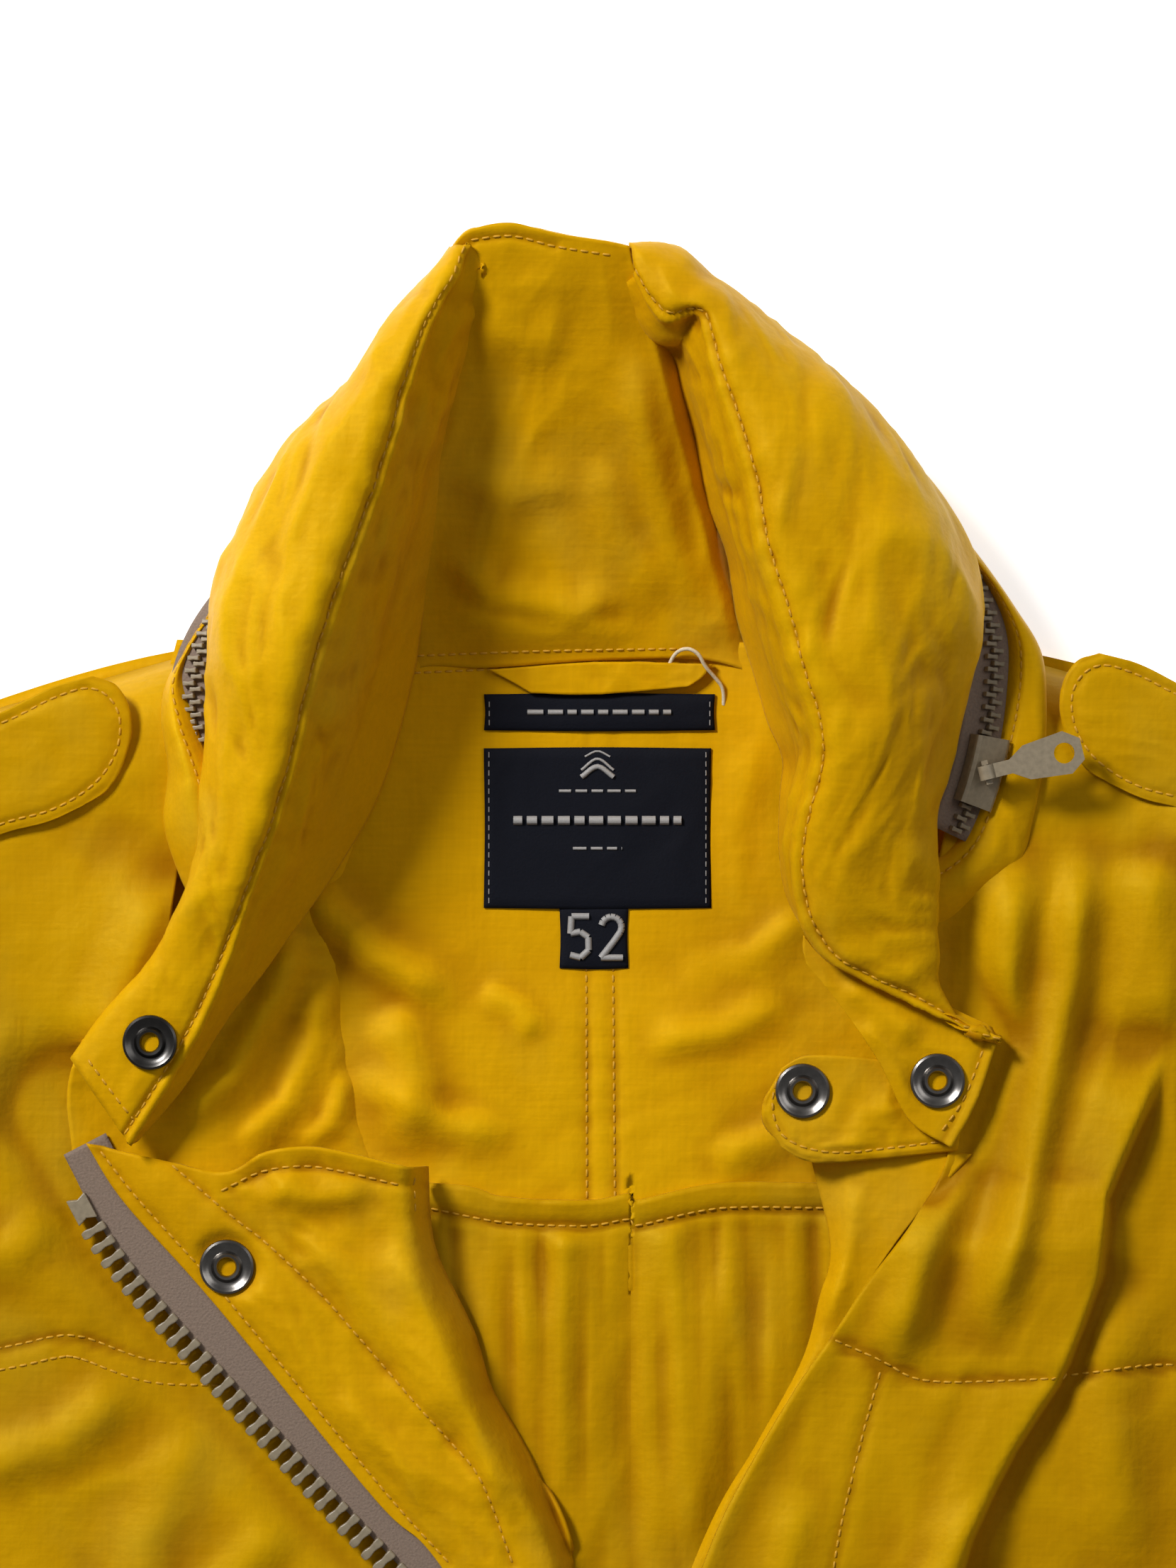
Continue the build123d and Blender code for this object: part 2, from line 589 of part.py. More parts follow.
def strap_outline(side):
    """A strap with a rounded tip towards the collar."""
    way = Vector(STRAP_SEAM[0] - STRAP_TIP[0], STRAP_SEAM[1] - STRAP_TIP[1], 0).normalized()
    over = Vector(-way.Y, way.X, 0)
    tip = Vector(*STRAP_TIP, 0)
    seam = Vector(*STRAP_SEAM, 0)
    shape = [(0, -9), (6, -17), (15, -20), (24, -STRAP_HALF)]
    near = [tip + way * a + over * b for a, b in shape]
    far = [tip + way * a - over * b for a, b in reversed(shape)]
    ends = [seam - over * STRAP_HALF, seam + over * STRAP_HALF]
    return [(side * p.X, p.Y) for p in near + ends + far]


for name, side in (("left", 1), ("right", -1)):
    save(f"epaulette_{name}", plate(strap_outline(side), STRAP_Z, STRAP_Z + CLOTH))

flap_studs = [drum(x, y, STUD_R, FRONT_TOP + SNAP_PAD, FLAP_LOW + 1.5) for x, y in FLAP_SNAPS]
save("snap_sockets", socket(*LAPEL_SNAP, LAPEL_Z, LAPEL_TOP), socket(*WING_SOCKET, WING_LOW, WING_TOP),
     socket(*TAB_SNAP, TAB_LOW, TAB_TOP))
save("snap_studs", stud(*WING_STUD, WING_TOP), *pocket_studs, *flap_studs)


# ---------------------------------------------------------------- sleeves
def sleeve_point(down, out, side):
    """A point on the sleeve: so far along it from its pivot, and so far to its outer side."""
    turn = math.radians(SLEEVE_ANGLE)
    x = ARMHOLE_PIVOT[0] + down * math.sin(turn) + out * math.cos(turn)
    y = ARMHOLE_PIVOT[1] - down * math.cos(turn) + out * math.sin(turn)
    return (side * x, y)


OUTER_EDGE = [(-101.0, -30.0), (-62.0, 35.0), (-20.0, 78.0), (40.0, 99.0), (120.0, 104.0), (330.0, 88.0)]


def sleeve_outline(side):
    """The sleeve laid flat: round head in the armhole, outer edge, cuff end, under edge."""
    start = sleeve_point(0, 0, 1)
    radius = ARMHOLE_RADIUS - 0.6
    low = angle_from(start, UNDERARM) % 360 + 0.8
    high = angle_from(start, SHOULDER_TIP) % 360
    head = [(side * x, y) for x, y in arc_points(start, radius, low, high, 12)]
    outer = [sleeve_point(down, out, side) for down, out in OUTER_EDGE]
    end = [sleeve_point(SLEEVE_END, CUFF_HALF, side), sleeve_point(SLEEVE_END, -CUFF_HALF, side)]
    elbow = [sleeve_point(300.0, -80.0, side)]
    return head, outer, end, elbow


def inset(line, centre):
    """A line of points moved in by the sleeve's wall, towards a point inside."""
    moved = []
    for i in range(len(line)):
        a, b = Vector(*line[max(i - 1, 0)], 0), Vector(*line[min(i + 1, len(line) - 1)], 0)
        way = (b - a).normalized()
        inward = Vector(-way.Y, way.X, 0)
        inward = inward if inward.dot(centre - Vector(*line[i], 0)) > 0 else inward * -1
        moved.append((line[i][0] + inward.X * SLEEVE_WALL, line[i][1] + inward.Y * SLEEVE_WALL))
    return moved


def sleeve(side):
    """The top and under sheets of a sleeve, and the two folds that join them, open at both ends."""
    head, outer, end, elbow = sleeve_outline(side)
    outline = head + outer + end + elbow
    centre = Vector(*sleeve_point(200.0, 0.0, side), 0)
    past = [sleeve_point(SLEEVE_END + 2, out, side) for out in (CUFF_HALF - 2, 2 - CUFF_HALF)]
    armpit = [(side * x, y) for x, y in ((200.0, -264.0), (162.0, -190.0), (162.0, -90.0), (205.0, -28.0))]
    bore = inset([head[-1]] + outer, centre) + past + inset(elbow + [head[0]], centre) + armpit
    top = plate(outline, SLEEVE_THICK - SLEEVE_WALL, SLEEVE_THICK)
    under = plate(outline, 0, SLEEVE_WALL)
    folds = plate(outline, SLEEVE_WALL, SLEEVE_THICK - SLEEVE_WALL) - plate(bore, 0, SLEEVE_THICK)
    return top, under, folds.solids()


def cuff(side):
    """The doubled band at the wrist, a flat tube."""
    ends = (SLEEVE_END, SLEEVE_END + CUFF_LENGTH)
    corners = [(ends[0], CUFF_HALF), (ends[1], CUFF_HALF), (ends[1], -CUFF_HALF), (ends[0], -CUFF_HALF)]
    band = plate([sleeve_point(a, b, side) for a, b in corners], 0, SLEEVE_THICK)
    wall = 3.0
    bore = [(ends[0] - 1, CUFF_HALF - wall), (ends[1] + 1, CUFF_HALF - wall),
            (ends[1] + 1, wall - CUFF_HALF), (ends[0] - 1, wall - CUFF_HALF)]
    return band - plate([sleeve_point(a, b, side) for a, b in bore], wall, SLEEVE_THICK - wall)


TAB_HINGE_OUT = 46.0  # the cuff tab is sewn near the cuff's outer edge
CUFF_TAB = (76.0, 30.0)


def cuff_tab(side):
    """The strap that tightens the cuff."""
    mid = SLEEVE_END + CUFF_LENGTH / 2
    half = CUFF_TAB[1] / 2
    far = TAB_HINGE_OUT - CUFF_TAB[0]
    corners = [(mid - half, TAB_HINGE_OUT), (mid + half, TAB_HINGE_OUT), (mid + half, far + 9),
               (mid + half - 9, far), (mid - half + 9, far), (mid - half, far + 9)]
    low = SLEEVE_THICK + HINGE_GAP
    return plate([sleeve_point(a, b, side) for a, b in corners], low, low + CLOTH)


for name, side in (("left", 1), ("right", -1)):
    top, under, folds = sleeve(side)
    save(f"sleeve_top_{name}", top)
    save(f"sleeve_under_{name}", under)
    save(f"sleeve_folds_{name}", *folds)
    save(f"cuff_{name}", cuff(side))
    save(f"cuff_tab_{name}", cuff_tab(side))


# ---------------------------------------------------------------- inside the neck
LINING_TOP = CLOTH + LINING


def rectangle(mid, width, height, low, high, turn=0.0):
    """A small oblong plate about its middle."""
    block = Box(width, height, high - low)
    return block.moved(Location((mid[0], mid[1], (low + high) / 2), (0, 0, turn)))


save("hanger_loop", plate([(-31, -4), (-19, -9), (26, -7), (33, -4)], LINING_TOP, LINING_TOP + 1.6))
save("label_strip", rectangle((0.6, -14.7), 66.0, 10.3, LINING_TOP, LINING_TOP + 0.8))
save("label_main", rectangle((0.0, -47.8), 65.0, 45.6, LINING_TOP, LINING_TOP + 0.8))
save("label_size", rectangle((-1.0, -79.3), 19.7, 17.2, LINING_TOP, LINING_TOP + 0.8))


def inner_pocket():
    """The slip pocket on the inside of the right front, with its hem."""
    low = LAPEL_TOP + 0.2
    hem = [(-104, -147), (-94, -140), (-78, -139), (-56, -144), (-52, -150), (-56, -156)]
    return plate(hem, low, low + 1.6)


save("inner_pocket", inner_pocket())

STRING_D = 1.1
STRING = [(20.0, -2.8, 6.1), (21.2, 1.4, 7.2), (25.0, 3.8, 9.6), (28.8, 2.2, 10.0), (30.6, -1.6, 8.8),
          (33.4, -4.6, 7.0), (36.4, -8.2, 5.6), (36.0, -12.6, 4.4)]


def cord_path(points):
    """Straight runs joined by arcs as large as the runs allow."""
    radii = []
    for a, b, c in zip(points, points[1:], points[2:]):
        before, after = Vector(*b) - Vector(*a), Vector(*c) - Vector(*b)
        half_turn = math.radians(before.get_angle(after)) / 2
        radii.append(0.45 * min(before.length, after.length) / math.tan(half_turn))
    print("string radii", [round(r, 2) for r in radii])
    return FilletPolyline(*points, radius=radii)


def string():
    """The thin string knotted through the hanger loop."""
    path = cord_path(STRING)
    start = Plane(origin=path @ 0, z_dir=path % 0)
    tube = sweep(start * Circle(STRING_D / 2), path=path)
    print("string length", round(path.length, 1), "volume ratio",
          round(tube.volume / (math.pi * STRING_D ** 2 / 4 * path.length), 3))
    return tube


save("string", string())
print("hinges: armhole", ARMHOLE_PIVOT, "hood bar", [round(v, 2) for v in hood_bar], "main bar", MAIN_BAR)
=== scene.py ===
# %% [markdown]
# # A yellow coat lying open on its back
# The coat lies as it would on a table: back down, collar up, the fronts opened at the neck.
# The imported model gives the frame, the zips, the snaps and the places of every piece. This script
# adds the cloth: sheets laid out from their edges, with folds, seams and creases worked into them.

# %% Load the frame
import json
import math

import bmesh
import bpy
import numpy as np
from mathutils import Matrix, Vector
from mathutils.bvhtree import BVHTree


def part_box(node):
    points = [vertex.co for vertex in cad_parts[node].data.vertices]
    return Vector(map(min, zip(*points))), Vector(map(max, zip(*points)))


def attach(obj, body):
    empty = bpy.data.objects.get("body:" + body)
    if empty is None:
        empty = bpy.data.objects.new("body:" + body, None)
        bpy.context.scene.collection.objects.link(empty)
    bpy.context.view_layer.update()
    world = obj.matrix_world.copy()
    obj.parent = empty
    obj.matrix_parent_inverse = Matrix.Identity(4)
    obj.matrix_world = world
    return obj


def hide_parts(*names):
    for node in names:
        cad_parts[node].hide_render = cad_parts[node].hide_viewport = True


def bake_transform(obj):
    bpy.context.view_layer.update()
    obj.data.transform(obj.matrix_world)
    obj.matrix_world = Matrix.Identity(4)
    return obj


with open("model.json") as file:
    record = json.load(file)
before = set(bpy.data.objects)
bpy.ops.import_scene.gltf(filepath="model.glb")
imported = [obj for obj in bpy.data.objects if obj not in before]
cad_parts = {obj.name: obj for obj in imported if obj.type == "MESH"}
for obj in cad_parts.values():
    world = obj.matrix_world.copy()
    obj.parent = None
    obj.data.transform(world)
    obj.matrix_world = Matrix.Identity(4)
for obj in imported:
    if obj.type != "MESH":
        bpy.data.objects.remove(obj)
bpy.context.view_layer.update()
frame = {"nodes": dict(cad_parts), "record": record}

bpy.ops.object.select_all(action="DESELECT")
label_low, label_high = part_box("label_main")
MM = 0.001
NECK_Y = (label_low[1] + label_high[1]) / 2 + 47.8 * MM
print("nodes", len(frame["nodes"]), "back neck seam at", round(NECK_Y, 4))

# %% [markdown]
# ## Camera, light and table
# The coat is seen from straight above. A long lens keeps the raised collar from leaning outward.
# One wide soft light stands over the upper left, and a weaker one fills from the other side, so
# that folds read as soft bright and dark bands.

# %% Camera, light, table
VIEW_CENTRE = (-2.7 * MM, NECK_Y - 35.2 * MM)
VIEW_HEIGHT = 442.4 * MM
CAMERA_UP = 2.0
SENSOR = 36.0
camera_data = bpy.data.cameras.new("camera")
camera = bpy.data.objects.new("camera", camera_data)
bpy.context.collection.objects.link(camera)
camera.location = (VIEW_CENTRE[0], VIEW_CENTRE[1], CAMERA_UP + 0.03)
camera_data.lens = SENSOR * CAMERA_UP / VIEW_HEIGHT
camera_data.clip_end = 100.0
bpy.context.scene.camera = camera


def area_light(name, place, size, power, aim=(0.0, 0.3, 0.0)):
    """A square soft light that looks at a point."""
    data = bpy.data.lights.new(name, "AREA")
    data.size = size
    data.energy = power
    light = bpy.data.objects.new(name, data)
    bpy.context.collection.objects.link(light)
    light.location = place
    way = Vector(aim) - Vector(place)
    light.rotation_euler = way.to_track_quat("-Z", "Y").to_euler()


area_light("key", (-1.7, 1.9, 2.0), 0.65, 96.0)
area_light("fill", (1.9, 1.2, 2.2), 1.5, 14.0)
world = bpy.data.worlds.new("studio")
bpy.context.scene.world = world
world.use_nodes = True
world.node_tree.nodes["Background"].inputs["Color"].default_value = (1.0, 1.0, 1.0, 1.0)
world.node_tree.nodes["Background"].inputs["Strength"].default_value = 0.15
bpy.context.scene.view_settings.view_transform = "Standard"

bpy.ops.mesh.primitive_plane_add(size=60.0, location=(0, 0, -0.0004))
table = bpy.context.object
table.name = "table"
bpy.ops.object.select_all(action="DESELECT")
print("camera", [round(v, 3) for v in camera.location], "lens", round(camera_data.lens, 1))

# %% [markdown]
# ## Finishes
# The cloth is a dense plain weave, dyed golden yellow, with fine slubs that run across it and a
# pale bloom where it has been rubbed. Shade is also painted into its colour: hollows in each sheet
# are darkened and ridges made paler, partly rubbed wear and partly painted sheen, and a copy of the
# cloth darkened by about a fifth paints shade on the fronts, the lower lining and the pieces beyond
# them. All other patterns read the object's own coordinates, which are metres here, so the weave
# has its real size on every piece.

# %% Material helpers
def new_material(name, rough, sheen=0.0):
    """A node material, its node tree and its principled shader."""
    made = bpy.data.materials.new(name)
    made.use_nodes = True
    tree = made.node_tree
    shader = tree.nodes["Principled BSDF"]
    shader.inputs["Roughness"].default_value = rough
    if sheen:
        shader.inputs["Sheen Weight"].default_value = sheen
        shader.inputs["Sheen Roughness"].default_value = 0.4
    return made, tree, shader


def stretched_noise(tree, scale, stretch, detail=3.0):
    """Noise on object coordinates, stretched along the axes."""
    place = tree.nodes.new("ShaderNodeTexCoord")
    mapping = tree.nodes.new("ShaderNodeMapping")
    mapping.inputs["Scale"].default_value = stretch
    texture = tree.nodes.new("ShaderNodeTexNoise")
    texture.inputs["Scale"].default_value = scale
    texture.inputs["Detail"].default_value = detail
    tree.links.new(place.outputs["Object"], mapping.inputs["Vector"])
    tree.links.new(mapping.outputs["Vector"], texture.inputs["Vector"])
    return texture.outputs["Fac"]


def ramp(tree, source, stops):
    """A colour ramp with its stops."""
    node = tree.nodes.new("ShaderNodeValToRGB")
    while len(node.color_ramp.elements) < len(stops):
        node.color_ramp.elements.new(0.5)
    for element, (place, colour) in zip(node.color_ramp.elements, stops):
        element.position = place
        element.color = (*colour, 1.0)
    tree.links.new(source, node.inputs["Fac"])
    return node.outputs["Color"]


def map_range(tree, source, low, high):
    """A value moved to the range from 0 to 1."""
    node = tree.nodes.new("ShaderNodeMapRange")
    node.inputs["From Min"].default_value = low
    node.inputs["From Max"].default_value = high
    tree.links.new(source, node.inputs["Value"])
    return node.outputs["Result"]


def mix_colours(tree, share, first, second, mode="MIX"):
    """Two colours mixed by a share."""
    node = tree.nodes.new("ShaderNodeMix")
    node.data_type = "RGBA"
    node.blend_type = mode
    for socket, value in ((node.inputs[0], share), (node.inputs[6], first), (node.inputs[7], second)):
        if hasattr(value, "is_linked"):
            tree.links.new(value, socket)
        else:
            socket.default_value = value
    return node.outputs[2]


def bump(tree, shader, layers):
    """Bumps laid over each other: (height source, strength, depth in metres)."""
    last = None
    for source, strength, depth in layers:
        node = tree.nodes.new("ShaderNodeBump")
        node.inputs["Strength"].default_value = strength
        node.inputs["Distance"].default_value = depth
        tree.links.new(source, node.inputs["Height"])
        if last:
            tree.links.new(last, node.inputs["Normal"])
        last = node.outputs["Normal"]
    tree.links.new(last, shader.inputs["Normal"])


# %% Cloth, thread, tape, plastic, metal and labels
def weave(tree, threads_per_metre):
    """The over-and-under of a plain weave, from two crossed waves."""
    place = tree.nodes.new("ShaderNodeTexCoord")
    waves = []
    for axis in ("X", "Y"):
        wave = tree.nodes.new("ShaderNodeTexWave")
        wave.bands_direction = axis
        wave.inputs["Scale"].default_value = threads_per_metre / 20
        wave.inputs["Distortion"].default_value = 0.4
        tree.links.new(place.outputs["Object"], wave.inputs["Vector"])
        waves.append(wave.outputs["Fac"])
    product = tree.nodes.new("ShaderNodeMath")
    product.operation = "MULTIPLY"
    tree.links.new(waves[0], product.inputs[0])
    tree.links.new(waves[1], product.inputs[1])
    return product.outputs["Value"]


def cloth_material(name, deep, middle, pale, rough=0.52):
    """Dyed cotton: slow colour drift, a rubbed bloom, painted shade in hollows with a paler tint on ridges,
    fine slubs, weave and small creases.
    """
    made, tree, shader = new_material(name, rough, sheen=0.12)
    shader.inputs["Sheen Tint"].default_value = (1.0, 0.80, 0.12, 1.0)
    shader.inputs["Specular Tint"].default_value = (1.0, 0.80, 0.10, 1.0)
    shader.inputs["Specular IOR Level"].default_value = 0.3
    drift = ramp(tree, stretched_noise(tree, 9.0, (1, 1, 1)), [(0.3, deep), (0.6, middle)])
    rubbed = stretched_noise(tree, 24.0, (1.0, 0.7, 1.0), detail=6.0)
    bloom = ramp(tree, rubbed, [(0.54, (0, 0, 0)), (0.80, (0.42, 0.42, 0.42))])
    colour = mix_colours(tree, bloom, drift, (*pale, 1.0))
    # Painted shade: each point's stored height above its surroundings darkens the colour in hollows and
    # creases, and raised ridges turn paler and bluer, partly rubbed wear and partly painted sheen.
    raised = tree.nodes.new("ShaderNodeAttribute")
    raised.attribute_name = "hollow"
    painted_shade_tint = ramp(tree, map_range(tree, raised.outputs["Fac"], -1.6, 1.6),
                  [(0.08, (0.66, 0.54, 0.5)), (0.5, (1.0, 1.0, 1.0)), (0.95, (1.05, 1.10, 1.2))])
    colour = mix_colours(tree, 1.0, colour, painted_shade_tint, "MULTIPLY")
    slub = stretched_noise(tree, 900.0, (0.07, 1.0, 1.0), detail=2.0)
    warp = stretched_noise(tree, 900.0, (1.0, 0.07, 1.0), detail=2.0)
    for source, low in ((slub, 0.95), (warp, 0.965)):
        tint = ramp(tree, source, [(0.35, (low, low, low)), (0.65, (1.0, 1.0, 1.0))])
        colour = mix_colours(tree, 1.0, colour, tint, "MULTIPLY")
    tree.links.new(colour, shader.inputs["Base Color"])
    creases = stretched_noise(tree, 95.0, (1.0, 0.8, 1.0), detail=7.0)
    bump(tree, shader, [(creases, 0.6, 0.0013), (slub, 0.22, 0.0002), (weave(tree, 2200), 0.2, 0.0001)])
    return made


GOLD = (0.69, 0.358, 0.0006)
cloth = cloth_material("shell_cloth", (0.60, 0.288, 0.0005), GOLD, (0.56, 0.37, 0.03))
# A copy of the shell cloth darkened by about a fifth: painted shade, worn by the fronts, the lower lining,
# sleeves, cuffs, pockets, straps and flaps.
shade_painted_cloth = cloth_material("shade_painted_cloth", (0.49, 0.236, 0.0004), (0.57, 0.295, 0.0005), (0.50, 0.33, 0.02))
lining = cloth_material("inner_cloth", (0.66, 0.318, 0.0005), (0.73, 0.378, 0.0008), (0.60, 0.38, 0.02), 0.56)


def plain_material(name, colour, rough, metal=0.0, grain=(300.0, 0.0002, 0.3), sheen=0.0):
    """A single finish with a little grain in its colour and surface."""
    made, tree, shader = new_material(name, rough, sheen)
    shader.inputs["Metallic"].default_value = metal
    spots = stretched_noise(tree, grain[0], (1, 1, 1), detail=4.0)
    dark = tuple(c * 0.8 for c in colour)
    tree.links.new(ramp(tree, spots, [(0.3, dark), (0.65, colour)]), shader.inputs["Base Color"])
    bump(tree, shader, [(spots, grain[2], grain[1])])
    return made


thread = plain_material("thread", (0.66, 0.34, 0.008), 0.6, grain=(2500.0, 0.0001, 0.5))
tape_cloth = plain_material("zip_tape", (0.235, 0.165, 0.12), 0.75, grain=(1400.0, 0.0003, 0.8), sheen=0.2)
khaki = plain_material("zip_plastic", (0.29, 0.235, 0.155), 0.42, grain=(700.0, 0.0001, 0.25))
gunmetal = plain_material("snap_metal", (0.23, 0.215, 0.2), 0.28, metal=1.0, grain=(500.0, 0.0001, 0.15))
label_cloth = plain_material("woven_label", (0.004, 0.005, 0.010), 0.7, grain=(1800.0, 0.0002, 0.6),
                             sheen=0.06)
label_cloth.node_tree.nodes["Principled BSDF"].inputs["Specular IOR Level"].default_value = 0.12
dark_metal = plain_material("dark_metal", (0.09, 0.085, 0.08), 0.3, metal=1.0, grain=(500.0, 0.0001, 0.15))
grey_thread = plain_material("label_thread", (0.36, 0.35, 0.34), 0.6, grain=(2500.0, 0.0001, 0.5))
cotton = plain_material("string_cotton", (0.72, 0.62, 0.44), 0.8, grain=(1500.0, 0.0002, 0.6))
table_top, table_tree, table_shader = new_material("table_top", 0.6)
paper = stretched_noise(table_tree, 300.0, (1, 1, 1))
table_tree.links.new(ramp(table_tree, paper, [(0.3, (0.97, 0.97, 0.97)), (0.7, (0.99, 0.99, 0.99))]),
                     table_shader.inputs["Base Color"])
table_shader.inputs["Emission Color"].default_value = (1.0, 1.0, 1.0, 1.0)
table_shader.inputs["Emission Strength"].default_value = 0.62
table.data.materials.append(table_top)
FINISHES = {"shell_cloth": cloth, "inner_cloth": lining, "zip_tape": tape_cloth, "zip_plastic": khaki,
            "snap_metal": gunmetal, "woven_label": label_cloth, "string_cotton": cotton}
for row in frame["record"]["subparts"]:
    node = frame["nodes"][row["node"]]
    node.data.materials.clear()
    node.data.materials.append(FINISHES[row["material_slot"]])
print("finishes", len(bpy.data.materials))

# %% [markdown]
# ## Cloth from its edges
# A sewn panel is known by its edges, so each sheet is stretched between four edge curves. Folds are
# then raised along lines, seams are pressed in, and noise adds the fine crumple of washed cotton.
# All of it is measured in millimetres from the middle of the back neck seam.

# %% Curves and patches
def smooth(points, count, mark=None):
    """A smooth curve through points, cut into even steps; with a mark, also the way from that point."""
    spots = [np.array(p, float) for p in points]
    ends = [2 * spots[0] - spots[1]] + spots + [2 * spots[-1] - spots[-2]]
    fine = []
    for a, b, c, d in zip(ends, ends[1:], ends[2:], ends[3:]):
        for t in np.linspace(0, 1, 12, endpoint=False):
            fine.append(0.5 * (2 * b + (c - a) * t + (2 * a - 5 * b + 4 * c - d) * t ** 2
                               + (3 * b - a - 3 * c + d) * t ** 3))
    fine.append(spots[-1])
    fine = np.array(fine)
    run = np.concatenate([[0], np.cumsum(np.linalg.norm(np.diff(fine, axis=0), axis=1))])
    even = np.linspace(0, run[-1], count + 1)
    curve = np.stack([np.interp(even, run, fine[:, k]) for k in range(fine.shape[1])], axis=1)
    return curve if mark is None else (curve, even - run[12 * mark])


def patch(bottom, top, left, right, across, along):
    """Points of a sheet stretched between four edge curves, as rows from bottom to top."""
    low, high = smooth(bottom, across), smooth(top, across)
    west, east = smooth(left, along), smooth(right, along)
    u = np.linspace(0, 1, across + 1)[None, :, None]
    v = np.linspace(0, 1, along + 1)[:, None, None]
    corners = ((1 - u) * (1 - v) * low[0] + u * (1 - v) * low[-1] + (1 - u) * v * high[0] + u * v * high[-1])
    return (1 - v) * low[None] + v * high[None] + (1 - u) * west[:, None] + u * east[:, None] - corners


# %% Noise that is the same every time
def hashed(ix, iy, seed):
    """A direction for each grid corner, from its whole-number place."""
    n = ix * 374761393 + iy * 668265263 + seed * 1442695041
    n = (n ^ (n >> 13)) * 1274126177
    return ((n ^ (n >> 16)) & 65535) / 65535 * 2 * math.pi


def grain(x, y, seed=0):
    """Gradient noise, about -0.7 to 0.7."""
    ix, iy = np.floor(x).astype(np.int64), np.floor(y).astype(np.int64)
    fx, fy = x - ix, y - iy
    sx, sy = fx ** 3 * (fx * (6 * fx - 15) + 10), fy ** 3 * (fy * (6 * fy - 15) + 10)
    corner = {}
    for dx in (0, 1):
        for dy in (0, 1):
            turn = hashed(ix + dx, iy + dy, seed)
            corner[dx, dy] = np.cos(turn) * (fx - dx) + np.sin(turn) * (fy - dy)
    low = corner[0, 0] * (1 - sx) + corner[1, 0] * sx
    high = corner[0, 1] * (1 - sx) + corner[1, 1] * sx
    return low * (1 - sy) + high * sy


def crumple(x, y, size, seed, angle=0.0, stretch=1.0):
    """Creased noise: sharp ridges with soft valleys, in two sizes, on a warped grid."""
    turn = math.radians(angle)
    a = (x * math.cos(turn) + y * math.sin(turn)) / size / stretch
    b = (y * math.cos(turn) - x * math.sin(turn)) / size
    a = a + 0.9 * grain(a * 0.7, b * 0.7, seed + 5)
    b = b + 0.9 * grain(a * 0.7, b * 0.7, seed + 6)
    large = 1 - 2.2 * np.abs(grain(a, b, seed))
    small = 1 - 2.2 * np.abs(grain(a * 2.3, b * 2.3, seed + 1))
    return 0.7 * large + 0.3 * small * (0.5 + grain(a * 0.5, b * 0.5, seed + 2))


def line_distance(x, y, line):
    """Distance to a line of points, negative on its right side, and how far along it, from 0 to 1."""
    best = np.full(x.shape, 1e9)
    side = np.ones(x.shape)
    share = np.zeros(x.shape)
    total = sum(math.dist(a, b) for a, b in zip(line, line[1:]))
    run = 0.0
    for a, b in zip(line, line[1:]):
        dx, dy = b[0] - a[0], b[1] - a[1]
        length = math.hypot(dx, dy)
        t = np.clip(((x - a[0]) * dx + (y - a[1]) * dy) / length ** 2, 0, 1)
        d = np.hypot(x - a[0] - t * dx, y - a[1] - t * dy)
        near = d < best
        turn = dx * (y - a[1]) - dy * (x - a[0])
        best = np.where(near, d, best)
        side = np.where(near, np.where(turn >= 0, 1.0, -1.0), side)
        share = np.where(near, (run + t * length) / total, share)
        run += length
    return best * side, share


def fold(x, y, line, height, left, right, taper=0.25):
    """A fold along a line: so high, and so wide on its left and on its right side."""
    d, share = line_distance(x, y, line)
    width = np.where(d > 0, left, right)
    ends = np.clip(np.minimum(share, 1 - share) / taper, 0, 1)
    return height * np.exp(-(d / width) ** 2) * ends * ends * (3 - 2 * ends)


def folds(x, y, z, rows):
    """Heights with folds raised on them one after another: (line, height, left, right, taper)."""
    for row in rows:
        z = z + fold(x, y, *row)
    return z


def seam(x, y, line, depth=0.7, width=2.2, pucker=0.5, pitch=7.0, seed=3):
    """A stitched line pressed into the cloth, with small puckers along it."""
    d, share = line_distance(x, y, line)
    length = sum(math.dist(a, b) for a, b in zip(line, line[1:]))
    groove = -depth * np.exp(-(d / width) ** 2)
    ripple = pucker * grain(share * length / pitch, d * 0.05, seed) * np.exp(-(d / (width * 2.4)) ** 2)
    return groove + ripple


# %% From points to a sheet of cloth
BACKS = {}


def to_metres(points):
    """Millimetres from the neck seam to metres in the coat's frame."""
    placed = np.array(points, float) * MM
    placed[..., 1] += NECK_Y
    return placed


def hollows(points):
    """How far each point stands above (or below) the cloth around it, in millimetres, at two sizes; the cloth
    finishes paint shade into the colour by it.
    """
    out = np.cross(np.gradient(points, axis=1), np.gradient(points, axis=0))
    out /= np.linalg.norm(out, axis=2)[..., None] + 1e-9
    out *= np.sign(out[..., 2].mean()) or 1.0
    total = np.zeros(points.shape[:2])
    soft = points.copy()
    for turn in range(1, 25):
        wide = np.pad(soft, ((1, 1), (1, 1), (0, 0)), mode="edge")
        soft = (wide[:-2, 1:-1] + wide[2:, 1:-1] + wide[1:-1, :-2] + wide[1:-1, 2:] + 2 * soft) / 6
        if turn in (6, 24):
            total += ((points - soft) * out).sum(axis=2) * (1.8 if turn == 6 else 0.55)
    return np.clip(total, -3, 3)


